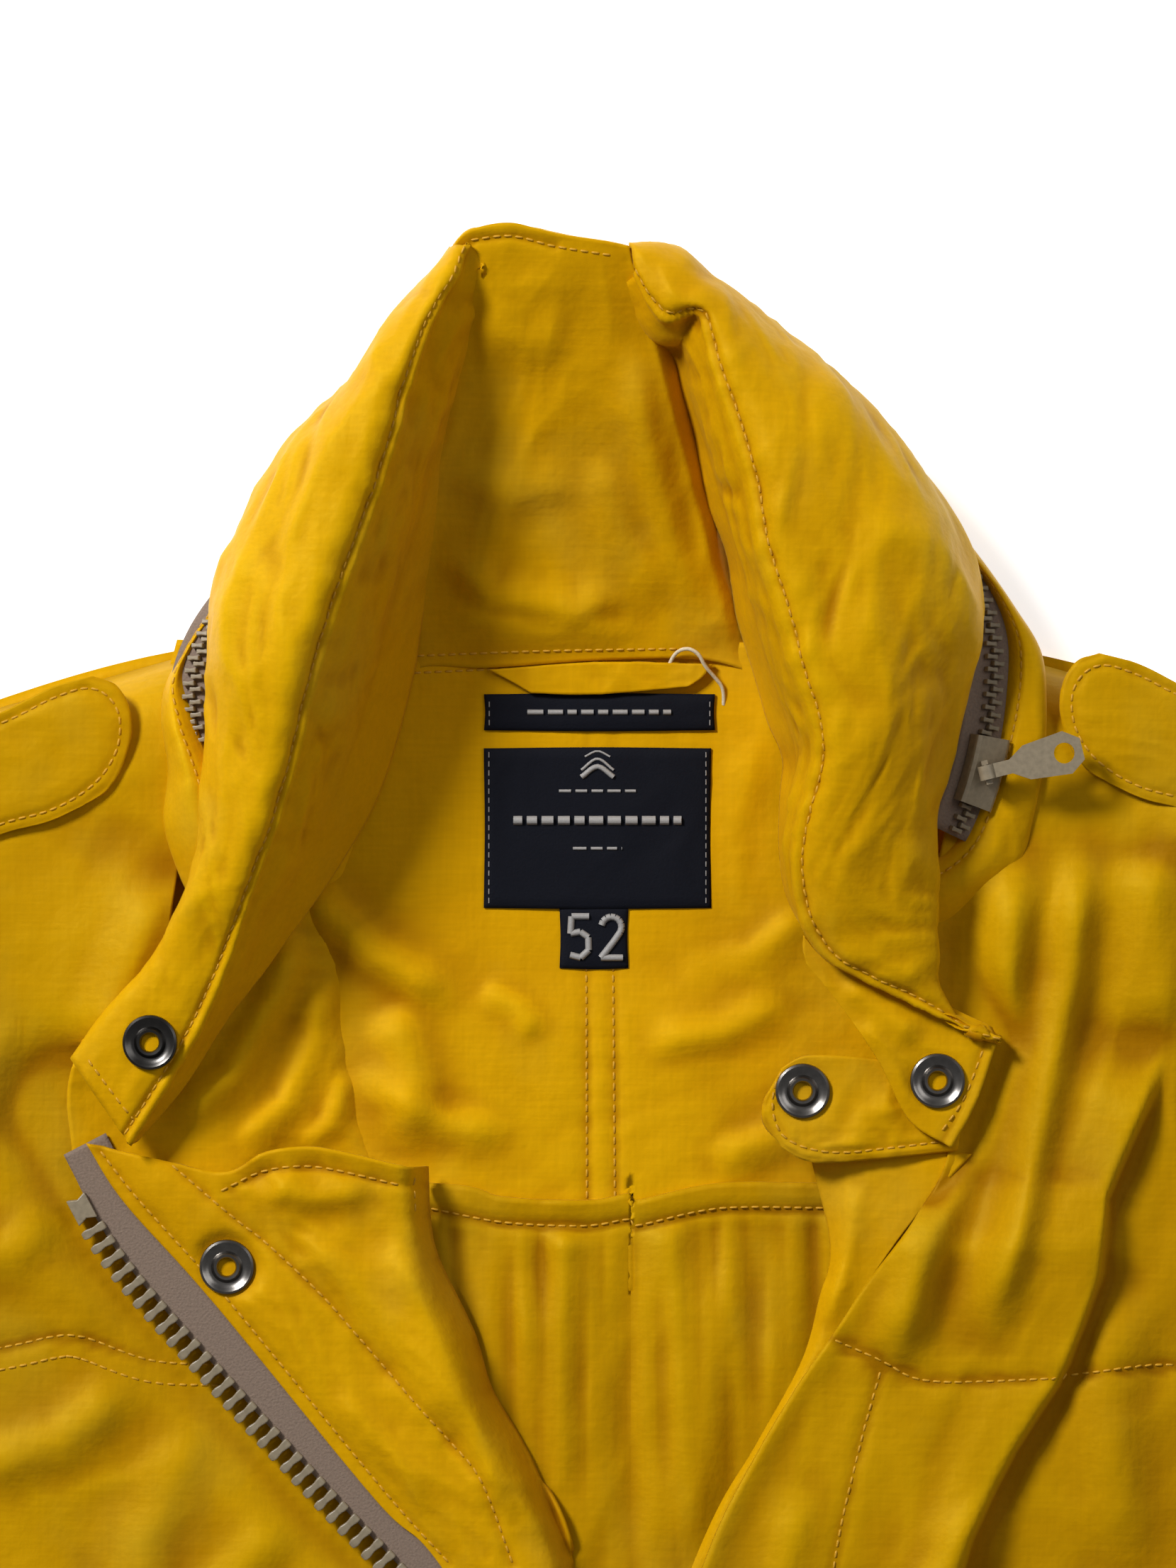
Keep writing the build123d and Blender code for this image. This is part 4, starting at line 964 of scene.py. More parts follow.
for name, cuts, seed in (("right", RIGHT_BAND, 91), ("left", LEFT_BAND, 95)):
    grid, way, run = loft([band_cut(*cut) for cut in cuts], 26, 110, 1)
    grid, way, run = facing_up(grid, way, run)
    grid[..., 2] += 0.7 * crumple(run, way, 16, seed, 20, 1.5) * np.clip(way / 3, 0, 1)
    grid[..., 2] -= 0.6 * np.exp(-((way - 2.4) / 0.9) ** 2)
    cloth_sheet(f"collar_band_{name}", grid, cloth, "coat", thick=1.2)
    stitch_row(f"collar_band_{name}", "coat", grid, way, 2.4)

# %% Zip tapes
def ribbon(name, inner, outer, nodes, body="coat", thick=0.7):
    """A strip of tape between its two edges."""
    cuts = [[a, (np.array(a) + np.array(b)) / 2, b] for a, b in zip(inner, outer)]
    grid, _, _ = facing_up(*loft(cuts, 12, 160, 0))
    cloth_sheet(name, grid, tape_cloth, body, nodes, thick=thick)
    return grid


def round_neck(angle, reach, height):
    """A point about the neck's middle, as the hood zip turns."""
    return (-2 + reach * math.cos(math.radians(angle)), -2 + reach * math.sin(math.radians(angle)), height)


LEFT_ANGLES = (-25, -18, -11, -4, 3)
TAPE_INNER = [round_neck(a, 106, 30) for a in LEFT_ANGLES] + [
    (101, 20, 30), (92, 36, 29), (74, 56, 28), (50, 74, 27), (24, 88, 27), (-10, 92, 27), (-40, 82, 27),
    (-64, 62, 27), (-82, 42, 28), (-96, 22, 29), (-104, 6, 30), (-107, -8, 30), (-106, -24, 30),
    (-102, -40, 30)]
TAPE_OUTER = [round_neck(a, 121, 21.4) for a in LEFT_ANGLES] + [
    (113, 20, 22), (98, 38, 23), (80, 58, 22), (56, 78, 22), (27, 94, 22), (-11, 98, 22), (-45, 88, 22),
    (-70, 66, 22), (-89, 44, 23), (-105, 24, 24), (-116, 8, 25), (-121, -8, 25.5), (-119, -26, 26),
    (-114, -44, 26)]
hood_tape_grid = ribbon("hood_tape", TAPE_INNER, TAPE_OUTER, ["hood_zip_tape"])

# %% Zip teeth
def model_tooth(wide, long, high):
    """One moulded tooth: a head with pinched waist and softened edges. Its width runs along X."""
    bpy.ops.mesh.primitive_cube_add(size=1.0)
    tooth = bpy.context.object
    tooth.scale = (wide * MM, long * MM, high * MM)
    bpy.ops.object.transform_apply(location=False, rotation=False, scale=True)
    bpy.ops.object.mode_set(mode="EDIT")
    bpy.ops.mesh.select_all(action="SELECT")
    bpy.ops.mesh.subdivide(number_cuts=1)
    cage = bmesh.from_edit_mesh(tooth.data)
    bpy.ops.mesh.select_all(action="DESELECT")
    for vert in cage.verts:
        vert.select = abs(vert.co.x) < 0.01 * MM and abs(vert.co.y) > 0.2 * MM
    bmesh.update_edit_mesh(tooth.data)
    bpy.ops.transform.resize(value=(1, 0.72, 1))
    bpy.ops.mesh.select_all(action="SELECT")
    bpy.ops.object.mode_set(mode="OBJECT")
    bevel = tooth.modifiers.new("soft", "BEVEL")
    bevel.width = 0.32 * MM
    bevel.segments = 2
    bevel.angle_limit = math.radians(50)
    bpy.ops.object.modifier_apply(modifier=bevel.name)
    return taken_away(tooth)


def teeth_along(grid, share, pitch, off, rise):
    """Places for teeth along a strip: every other one on the other side of its middle."""
    metres = to_metres(grid)
    column = metres[:, 0] * (1 - share) + metres[:, -1] * share
    across = metres[:, -1] - metres[:, 0]
    across /= np.linalg.norm(across, axis=1)[:, None]
    run = np.concatenate([[0], np.cumsum(np.linalg.norm(np.diff(column, axis=0), axis=1))])
    places = []
    for k, spot in enumerate(np.arange(pitch, run[-1] - pitch, pitch)):
        at = np.array([np.interp(spot, run, column[:, i]) for i in range(3)])
        step = np.array([np.interp(spot + 0.001, run, column[:, i]) for i in range(3)]) - at
        over = Vector([np.interp(spot, run, across[:, i]) for i in range(3)]).normalized()
        up = over.cross(Vector(step)).normalized()
        up = up if up.z > 0 else -up
        side = 1 if k % 2 else -1
        places.append((Vector(at) + over * (off * side) + up * rise, over * side, up))
    return places


hood_tooth = model_tooth(3.5, 1.5, 2.0)
hood_places = teeth_along(hood_tape_grid, 0.5, 1.8 * MM, 1.1 * MM, 1.1 * MM)
hood_teeth = copies("hood_teeth", hood_tooth, hood_places, khaki)
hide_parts("hood_zip_teeth")
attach(hood_teeth, "coat")
print("hood teeth", len(hood_teeth.data.polygons))

# %% [markdown]
# ## The turned-back fronts
# On the wearer's right the front is folded back, so its inner side shows, with the zip along its
# edge and a slip pocket's hem above. On the other side the storm flap covers the zip. Its rounded
# tab and the collar's wing cross below the throat.

# %% Wearer's right: facing, zip and slip pocket
TAPE_EDGE = [(-145, -137), (-134, -154), (-109, -182), (-63, -238), (-45, -256), (-10, -310)]
TURN_EDGE = [(-48, -144), (-47.5, -158), (-45, -170), (-35, -191), (-30, -207), (-22, -221), (-17, -231),
             (-7, -256), (-4, -310)]
POCKET_HEM = [(-147, -137), (-128, -141), (-107, -145), (-94, -139), (-79, -138), (-56, -143), (-48, -144)]
STITCH_A = [(-141, -139), (-130, -153), (-105, -181), (-60, -236), (-42, -256)]
STITCH_B = [(-123, -141), (-103, -158), (-94, -165), (-79, -179), (-70, -189), (-58, -203), (-42, -221),
            (-33, -232), (-24, -256)]


def flatten(x, y, z, spot, level, reach=9.0):
    """Cloth pressed level where a snap is set."""
    near = np.exp(-np.maximum(np.hypot(x - spot[0], y - spot[1]) - 7.0, 0) ** 2 / reach)
    return z * (1 - near) + level * near


def facing_height(x, y):
    """The turned facing: soft rolls along its fold, pressed at the zip and the snap."""
    edge, _ = line_distance(x, y, TAPE_EDGE)
    turn, _ = line_distance(x, y, TURN_EDGE)
    z = 22.8 + 2.3 * crumple(x, y, 26, 101, -52, 2.4) + 1.7 * grain(x / 24, y / 50, 102)
    z += 0.8 * crumple(x, y, 12, 103, -50, 2.0)
    z = folds(x, y, z, [
        ([(-60, -160), (-48, -186), (-36, -214), (-24, -246)], 4.6, 5, 7, 0.2),
        ([(-86, -160), (-70, -176), (-54, -198), (-40, -222)], 3.4, 6, 5, 0.2),
        ([(-96, -148), (-80, -152), (-62, -150)], 3.0, 6, 4),
        ([(-126, -160), (-106, -192), (-84, -214)], 1.6, 5, 5),
        ([(-76, -206), (-60, -222), (-46, -242)], 1.8, 4, 4)])
    press = np.exp(-(np.abs(edge) / 7) ** 2)
    z = z * (1 - press) + 21.6 * press
    z -= 13.0 * np.exp(-(np.abs(turn) / 3.4) ** 1.6)
    z += seam(x, y, STITCH_B, 0.9, 1.6, 0.6)
    z += seam(x, y, STITCH_A, 0.5, 1.2, 0.3)
    return flatten(x, y, z, (-105, -172), 21.5)


def facing_sheet():
    """The turned facing between the zip and the fold, with the slip pocket's raised hem."""
    grid = patch(flat_line([(-10, -310), (-4, -310)], 20), flat_line(POCKET_HEM, 20),
                 flat_line(TAPE_EDGE[::-1], 20), flat_line(TURN_EDGE[::-1], 20), 80, 170)
    x, y = grid[..., 0], grid[..., 1]
    z = facing_height(x, y)
    hem, _ = line_distance(x, y, POCKET_HEM)
    open_pocket = np.clip((x + 110) / 14, 0, 1)
    z += 1.6 * np.exp(-(np.abs(hem) / 3.0) ** 2) * open_pocket
    z -= 0.9 * np.exp(-((np.abs(hem) - 5.6) / 1.1) ** 2) * open_pocket
    grid[..., 2] = z
    return grid


cloth_sheet("facing_right", facing_sheet(), cloth, "coat", ["lapel_right", "inner_pocket"])
sew("coat", "facing_right", [STITCH_A, STITCH_B])
sew("coat", "facing_right", [[(p[0], p[1] - 5.6) for p in POCKET_HEM[2:-1]]])
sew("coat", "facing_right", [[(-52, -146), (-51.6, -157)]])


def facing_top():
    """The facing above the slip pocket, running up under the collar and down to the lining."""
    grid = patch([(-149, -140, 19), (-128, -146, 18), (-105, -150, 17), (-84, -146, 10), (-58, -150, 7)],
                 [(-142, -98, 21), (-120, -84, 18), (-96, -66, 13), (-78, -58, 9), (-62, -44, 6)],
                 [(-149, -140, 19), (-150, -120, 20), (-142, -98, 21)],
                 [(-58, -150, 7), (-66, -128, 6), (-70, -100, 5.4), (-70, -70, 5.5), (-62, -44, 6)], 70, 80)
    x, y = grid[..., 0], grid[..., 1]
    z = grid[..., 2] + 1.4 * crumple(x, y, 22, 111, 40, 1.8)
    z = folds(x, y, z, [
        ([(-122, -132), (-104, -118), (-92, -96), (-84, -76)], 4.6, 5, 6, 0.2),
        ([(-104, -140), (-88, -126), (-80, -108), (-78, -88)], 3.4, 4, 6, 0.2),
        ([(-86, -140), (-76, -132), (-70, -116)], 2.6, 4, 4)])
    inner, _ = line_distance(x, y, [(-58, -150), (-66, -128), (-70, -100), (-70, -70), (-62, -44)])
    grid[..., 2] = z - 3.2 * np.exp(-(np.abs(inner) / 4) ** 2)
    return grid


cloth_sheet("facing_top_right", facing_top(), lining, "coat")

# %% Wearer's left: facing strip, tab and wing tip
def strip_sheet():
    """The narrow facing that shows beside the storm flap's fold."""
    grid = patch([(8, -306, 12), (14, -308, 14)], [(60, -139, 15), (78, -138, 20), (106, -140, 22)],
                 [(8, -306, 12), (31, -248, 13), (45, -223, 14), (58, -199, 15), (63, -181, 14),
                  (66, -166, 14), (60, -139, 15)],
                 [(14, -308, 14), (36, -248, 16), (52, -221, 17), (68, -196, 19), (76, -178, 20),
                  (90, -158, 21), (106, -140, 22)], 40, 120)
    x, y = grid[..., 0], grid[..., 1]
    z = grid[..., 2] + 1.0 * crumple(x, y, 18, 121, 60, 1.8)
    z += fold(x, y, [(74, -146), (70, -166), (64, -190)], 2.4, 4, 5)
    grid[..., 2] = z
    return grid


cloth_sheet("facing_left", strip_sheet(), cloth, "coat", ["lapel_left"])


def tab_sheet():
    """The storm flap's rounded tab."""
    low = [(52, -138), (58, -141.5), (66, -142.5), (84, -141), (102, -139)]
    high = [(52, -115.5), (60, -112), (78, -113), (102, -117)]
    grid = patch(flat_line(low, 24.5), flat_line(high, 24.5),
                 flat_line([(52, -138), (46.4, -128), (52, -115.5)], 24.5),
                 flat_line([(102, -139), (103, -128), (102, -117)], 24.5), 56, 40)
    x, y = grid[..., 0], grid[..., 1]
    z = grid[..., 2] + 0.9 * crumple(x, y, 14, 131, 30, 1.5)
    z += fold(x, y, [(70, -141), (76, -130), (86, -124)], 1.4, 4, 4)
    rim = np.minimum(np.abs(line_distance(x, y, low)[0]),
                     np.abs(line_distance(x, y, [(52, -138), (46.4, -128), (52, -115.5)])[0]))
    z -= 0.5 * np.exp(-((rim - 3.0) / 1.0) ** 2) + 1.0 * np.exp(-(rim / 1.2) ** 2)
    grid[..., 2] = flatten(x, y, z, (58, -122), 24.5, 5)
    return grid


TAB_STITCH = [(54, -113.5), (50.4, -120), (49.6, -128), (53.4, -135.6), (66, -139.4), (84, -138), (100, -136)]
cloth_sheet("flap_tab", tab_sheet(), cloth, "coat", ["storm_flap_tab"])
sew("coat", "flap_tab", [TAB_STITCH])


def wing_tip():
    """The end of the collar folded down over the tab, with its snap."""
    high = [(58, -78), (64, -84.5), (76, -91), (90, -98), (113, -107.5)]
    low = [(59, -86), (68, -97), (79, -113), (88, -130), (100, -138)]
    grid = patch(flat_line(low, 27.5), flat_line(high, 29.5),
                 flat_line([(59, -86), (58, -82), (58, -78)], 28),
                 flat_line([(100, -138), (107, -125), (113, -107.5)], 28), 60, 50)
    x, y = grid[..., 0], grid[..., 1]
    z = grid[..., 2] + 0.9 * crumple(x, y, 16, 141, -35, 1.6)
    z = folds(x, y, z, [
        ([(68, -90), (80, -100), (92, -108)], 2.2, 4, 5),
        ([(74, -100), (84, -116), (92, -128)], 1.8, 3, 4)])
    end, _ = line_distance(x, y, [(100, -138), (107, -125), (113, -107.5)])
    z -= 0.6 * np.exp(-((np.abs(end) - 3.2) / 1.0) ** 2)
    grid[..., 2] = flatten(x, y, z, (96, -119), 28.0, 5)
    return grid


cloth_sheet("collar_tip_left", wing_tip(), cloth, "coat", ["collar_wing_left"], thick=1.6)
sew("coat", "collar_tip_left", [[(97, -133.5), (103.5, -124), (109, -110)]])
sew("coat", "collar_roll_right", [[(-130, -131), (-137, -122), (-144, -112.5)]])

# %% Main zip beside the open edges
def model_main_tooth():
    """A large moulded tooth: a base that grips the cord, a waist and a broad round head."""
    bpy.ops.mesh.primitive_cube_add(size=1.0)
    tooth = bpy.context.object
    tooth.scale = (7.4 * MM, 2.3 * MM, 3.4 * MM)
    bpy.ops.object.transform_apply(location=False, rotation=False, scale=True)
    bpy.ops.object.mode_set(mode="EDIT")
    bpy.ops.mesh.select_all(action="SELECT")
    bpy.ops.mesh.subdivide(number_cuts=3)
    cage = bmesh.from_edit_mesh(tooth.data)
    for low, high, wide, tall in ((-4.0, -1.6, 1.15, 1.06), (-0.6, 0.6, 0.62, 0.8), (1.4, 2.4, 1.35, 0.9),
                                  (3.0, 4.0, 0.9, 0.62)):
        bpy.ops.mesh.select_all(action="DESELECT")
        for vert in cage.verts:
            vert.select = low * MM < vert.co.x < high * MM
        bmesh.update_edit_mesh(tooth.data)
        bpy.ops.transform.resize(value=(1, wide, tall))
    bpy.ops.mesh.select_all(action="SELECT")
    bpy.ops.object.mode_set(mode="OBJECT")
    rounded = tooth.modifiers.new("rounded", "SUBSURF")
    rounded.levels = rounded.render_levels = 1
    bpy.ops.object.modifier_apply(modifier=rounded.name)
    return taken_away(tooth)


main_tooth = model_main_tooth()
zip_stop = model_tooth(5.8, 8.0, 4.2)
RIGHT_ZIP = [(-143, -136), (-128, -163), (-97, -199), (-67, -232), (-40, -262), (-14, -306)]
LEFT_ZIP = [(118, -150), (100, -190), (84, -222), (60, -256), (34, -284), (14, -306)]
for name, edge, side in (("right", RIGHT_ZIP, -1), ("left", LEFT_ZIP, 1)):
    path = smooth(edge, 30)
    step = np.gradient(path, axis=0)
    step /= np.linalg.norm(step, axis=1)[:, None]
    off = np.stack([-side * step[:, 1], side * step[:, 0]], axis=1)
    inner = [(*(p - 4 * n), 20.8) for p, n in zip(path, off)]
    outer = [(*(p + 9.4 * n), 20.6) for p, n in zip(path, off)]
    ribbon(f"zip_tape_{name}", inner, outer, [f"main_tape_{name}"])
    metres = to_metres([(*(p + 11.6 * n), 20.9) for p, n in zip(path, off)])
    run = np.concatenate([[0], np.cumsum(np.linalg.norm(np.diff(metres, axis=0), axis=1))])
    places = []
    for spot in np.arange(23 * MM, run[-1] - 8 * MM, 4.8 * MM):
        at = Vector([np.interp(spot, run, metres[:, k]) for k in range(3)])
        way = Vector([np.interp(spot, run, off[:, k]) for k in range(2)] + [0.0]).normalized()
        places.append((at, way, Vector((0, 0, 1))))
    places += [(Vector(to_metres((side * 0.8, -316 - (2.4 if side > 0 else 0) - 4.8 * k, 17.0))),
                Vector((-side, 0, 0)), Vector((0, 0, 1))) for k in range(87)]
    teeth = copies(f"zip_teeth_{name}", main_tooth, places, khaki)
    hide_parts(f"main_teeth_{name}")
    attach(teeth, "coat")
    print("teeth", name, len(places))
    stop_at = Vector([np.interp(16 * MM, run, metres[:, k]) for k in range(3)])
    stop_way = Vector([np.interp(16 * MM, run, off[:, k]) for k in range(2)] + [0.0]).normalized()
    stop = copies(f"zip_stop_{name}", zip_stop, [(stop_at, stop_way, Vector((0, 0, 1)))], khaki)
    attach(stop, "coat")
    closed = [(side * 14.0, y, 17.5) for y in (-310, -500, -700, -745)]
    ribbon(f"zip_tape_low_{name}", closed, [(side * 3.6, y, 17.4) for y in (-310, -500, -700, -745)], [])

# %% [markdown]
# ## Labels, hanger loop and string
# Three woven labels lie on the yoke below a hanger loop. They carry only plain woven bars, a
# chevron and a size number. Their stitches show as short grey bars.

# %% Labels
def label(name, node, mid, size, top=5.6, curl=0.5, seed=151):
    """A woven label with folded ends, a little lifted from the cloth."""
    w, h = size[0] / 2, size[1] / 2
    x0, x1, y0, y1 = mid[0] - w, mid[0] + w, mid[1] - h, mid[1] + h
    grid = patch([(x0, y0, 0), (mid[0], y0 - 0.3, 0), (x1, y0, 0)],
                 [(x0, y1, 0), (mid[0], y1 + 0.3, 0), (x1, y1, 0)],
                 [(x0, y0, 0), (x0 + 0.3, mid[1], 0), (x0, y1, 0)],
                 [(x1, y0, 0), (x1 - 0.3, mid[1], 0), (x1, y1, 0)],
                 max(int(size[0]), 16), max(int(size[1]), 10))
    x, y = grid[..., 0], grid[..., 1]
    ends = np.minimum(np.minimum(x - x0, x1 - x), np.minimum(y - y0, y1 - y))
    grid[..., 2] = top + curl * crumple(x, y, 24, seed) - 0.5 * np.exp(-(ends / 1.2) ** 2)
    return cloth_sheet(name, grid, label_cloth, "coat", [node], thick=0.7)


label("label_strip_cloth", "label_strip", (0.6, -14.7), (66, 10.3), seed=151)
label("label_main_cloth", "label_main", (0, -47.8), (65, 45.6), seed=153)
label("label_size_cloth", "label_size", (-1, -79.2), (19.7, 17.2), top=5.4, seed=155)

# %% What is woven into them
def woven_bar(spots, wide, sheet):
    """A raised line of pale weft on a label, through places seen from above."""
    bpy.ops.curve.primitive_bezier_curve_add()
    line = bpy.context.object
    line.data.splines.clear()
    run = sum(math.dist(a, b) for a, b in zip(spots, spots[1:]))
    path = smooth(spots, max(int(run / 1.0), 3))
    spline = line.data.splines.new("POLY")
    spline.points.add(len(path) - 1)
    for point, place in zip(spline.points, path):
        at = to_metres([*place, 0.0])
        hit, _ = surface(sheet, at[0], at[1])
        point.co = (*(hit + Vector((0, 0, 0.08 * MM))), 1.0)
    line.data.bevel_depth = wide / 2 * MM
    line.data.bevel_resolution = 1
    line.data.use_fill_caps = True
    bpy.ops.object.convert(target="MESH")
    made = bpy.context.object
    bpy.ops.object.select_all(action="DESELECT")
    return made


def circle_points(mid, radius, start, end, count=12):
    """Points on an arc, in degrees."""
    return [(mid[0] + radius * math.cos(math.radians(a)), mid[1] + radius * math.sin(math.radians(a)))
            for a in np.linspace(start, end, count)]


bars = []
for y, left, right, wide in ((-14.7, -20, 21, 1.5), (-37.2, -11, 11, 0.9), (-45.6, -24, 24, 2.6),
                             (-53.6, -7, 7, 0.9)):
    sheet = "label_strip_cloth" if y > -20 else "label_main_cloth"
    spot = left
    while spot < right:
        long = 2.2 + 2.4 * (0.5 + float(grain(np.array([spot / 3.1]), np.array([y]), 7)[0]))
        bars.append(woven_bar([(spot, y), (min(spot + long, right), y)], wide, sheet))
        spot += long + 1.3
bars.append(woven_bar([(-4.6, -33.2), (0, -30.2), (4.6, -33.2)], 1.5, "label_main_cloth"))
bars.append(woven_bar([(-4.6, -31.2), (0, -28.0), (4.6, -31.2)], 0.8, "label_main_cloth"))
bars.append(woven_bar([(-3.6, -27.4), (0, -25.8), (3.6, -27.4)], 0.6, "label_main_cloth"))
TENS = [(-2.4, -73.0), (-7.4, -73.0), (-7.7, -77.9), (-4.9, -77.4), (-2.6, -79.0), (-2.5, -82.6),
        (-4.8, -84.8), (-7.8, -84.0)]
UNITS = circle_points((4.0, -76.0), 2.9, 170, -30, 9) + [(4.6, -80.2), (1.0, -84.8), (7.2, -84.8)]
for digit in (TENS, UNITS):
    for a, b in zip(digit, digit[1:]):
        bars.append(woven_bar([a, b], 1.9, "label_size_cloth"))
for x0, x1, y0, y1, sheet in ((-32.4, 33.6, -19.8, -9.6, "label_strip_cloth"),
                              (-32.5, 32.5, -70.6, -25.0, "label_main_cloth")):
    for x in (x0 + 1.5, x1 - 1.5):
        for y in np.arange(y0 + 1.4, y1 - 1.4, 2.6):
            bars.append(woven_bar([(x, y), (x, y + 1.5)], 0.3, sheet))
bpy.ops.object.select_all(action="DESELECT")
for bar in bars:
    bar.select_set(True)
bpy.context.view_layer.objects.active = bars[0]
bpy.ops.object.join()
woven = bpy.context.object
woven.name = "label_weaving"
woven.data.materials.clear()
woven.data.materials.append(grey_thread)
bpy.ops.object.select_all(action="DESELECT")
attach(woven, "coat")
print("label weaving", len(woven.data.polygons))

# %% Hanger loop and string
LOOP_LOW = [(-19, -9.2), (0, -9.6), (26, -7.4)]
LOOP_HIGH = [(-31, -2.6), (0, -0.4), (33, -1.0)]
loop = patch(flat_line(LOOP_LOW, 7.6), flat_line(LOOP_HIGH, 6.4),
             flat_line([(-19, -9.2), (-24, -6.2), (-31, -2.6)], 7),
             flat_line([(26, -7.4), (30, -4.6), (33, -1.0)], 7), 60, 12)
loop[..., 2] += 0.6 * crumple(loop[..., 0], loop[..., 1], 14, 161)
cloth_sheet("hanger_loop_cloth", loop, cloth, "coat", ["hanger_loop"], thick=1.6)

STRING_ROUTE = [(20.0, -2.8, 6.1), (21.2, 1.4, 7.2), (25.0, 3.8, 9.6), (28.8, 2.2, 10.0), (30.6, -1.6, 8.8),
                (33.4, -4.6, 7.0), (36.4, -8.2, 5.6), (36.0, -12.6, 4.4)]
string_data = bpy.data.curves.new("string_curve", "CURVE")
string_data.dimensions = "3D"
string_line = string_data.splines.new("NURBS")
string_line.points.add(len(STRING_ROUTE) - 1)
for point, place in zip(string_line.points, to_metres(STRING_ROUTE)):
    point.co = (*place, 1.0)
string_line.order_u = 3
string_line.use_endpoint_u = True
string_data.resolution_u = 12
string_data.bevel_depth = 0.55 * MM
string_data.bevel_resolution = 3
string_data.use_fill_caps = True
string_piece = bpy.data.objects.new("string_cord", string_data)
bpy.context.collection.objects.link(string_piece)
string_data.materials.append(cotton)
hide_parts("string")
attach(string_piece, "coat")
tuple(to_metres(STRING_ROUTE)[0])

# %% [markdown]
# ## Shoulder straps, storm flap, pockets, sleeves and cuffs
# These are guessed where the photograph ends: a field coat's usual pieces, cut to the packed
# model's outlines, with the same stitching and creases as the cloth that can be seen.

# %% Panels from four corners
def panel(name, node, low, high, left, right, level, body, seed, thick=1.6, rows=(70, 70), amount=0.9,
          hems=(), size=26.0, rests_on=("left_front",), snap=None):
    """A flat sewn piece with rounded-off edges, creases and rows of stitches."""
    grid = patch(flat_line(low, level), flat_line(high, level), flat_line(left, level),
                 flat_line(right, level), *rows)
    x, y = grid[..., 0], grid[..., 1]
    rim = np.full(x.shape, 1e9)
    for edge in (low, left, right):
        rim = np.minimum(rim, np.abs(line_distance(x, y, edge)[0]))
    z = level + amount * crumple(x, y, size, seed, 25, 1.5) * np.clip(rim / 8, 0.2, 1)
    z -= 0.8 * np.exp(-(rim / 1.6) ** 2)
    for hem in hems:
        z += seam(x, y, hem, 0.5, 1.2, 0.3)
    if snap:
        z = flatten(x, y, z, snap, level, 12)
    grid[..., 2] = z
    cloth_sheet(name, grid, shade_painted_cloth, body, node, thick=thick)
    sew(body, name, list(hems))
    return grid


STRAP_LOW = [(-212, -66), (-190, -58), (-169, -49.5), (-156, -46), (-146, -41.5)]
STRAP_HIGH = [(-206, -27), (-186, -21), (-169, -15), (-155, -8), (-143, -4.6)]
STRAP_TIP_SIDE = [(-146, -41.5), (-138, -36), (-133, -26), (-132, -16), (-136, -7.5), (-143, -4.6)]
STRAP_HEM = [(-210, -63), (-190, -55), (-169, -46.5), (-156, -43), (-147, -38.5), (-140.5, -33),
             (-136, -25), (-135.4, -16), (-139, -10), (-145, -8), (-155, -11.2), (-169, -18), (-204, -30)]
STRAP_LEVEL = {"right": 22.8, "left": 23.4}


def strap_points(points, name):
    """The strap's own place on each shoulder."""
    return points if name == "right" else [(-p[0] - 1.0, p[1] + 6.5) for p in points]


for name, seed in (("right", 171), ("left", 175)):
    low, high, tip = (strap_points(p, name) for p in (STRAP_LOW, STRAP_HIGH, STRAP_TIP_SIDE))
    back = [low[0], ((low[0][0] + high[0][0]) / 2, (low[0][1] + high[0][1]) / 2), high[0]]
    edges = (low, high, back, tip) if name == "right" else (low[::-1], high[::-1], tip, back)
    panel(f"strap_cloth_{name}", [f"epaulette_{name}"], *edges, STRAP_LEVEL[name], f"strap_{name}", seed,
          hems=[strap_points(STRAP_HEM, name)], amount=1.4, rests_on=[f"{name}_front"])

# %% Storm flap
FLAP_FREE = [(-24, -770), (-24.4, -600), (-24, -470), (-8, -420), (12, -388), (17, -352), (19, -322)]
FLAP_SEAM = [(42.5, -770), (42.5, -600), (42.5, -470), (42.5, -420), (42.5, -388), (42.5, -352), (42.5, -320)]
flap_free_hem = [(p[0] + 6, p[1] + 3) for p in FLAP_FREE[:3]]
flap_free_hem += [(-4, -417), (17.5, -386), (22.5, -352), (24, -328)]
flap_hems = [flap_free_hem, [(-21, -764), (40, -764)], [(38.5, -764), (38.5, -326)]]
panel("storm_flap_cloth", ["storm_flap"], [(-24, -770), (10, -771), (42.5, -770)],
      [(19, -322), (30, -320), (42.5, -320)], FLAP_FREE, FLAP_SEAM, 28.0, "storm_flap", 181,
      rows=(34, 200), hems=flap_hems, amount=0.9)

# %% Pockets and their flaps
# inner and outer side, mouth, foot, and how far the flap drops
POCKETS = {"chest": (95, 230, -290, -445, 59), "hip": (90, 240, -540, -720, 66)}
POCKET_FOOT = 18.4
POCKET_TOP = 28.0
CORNER = 12
FLAP_LEVEL = 30.6


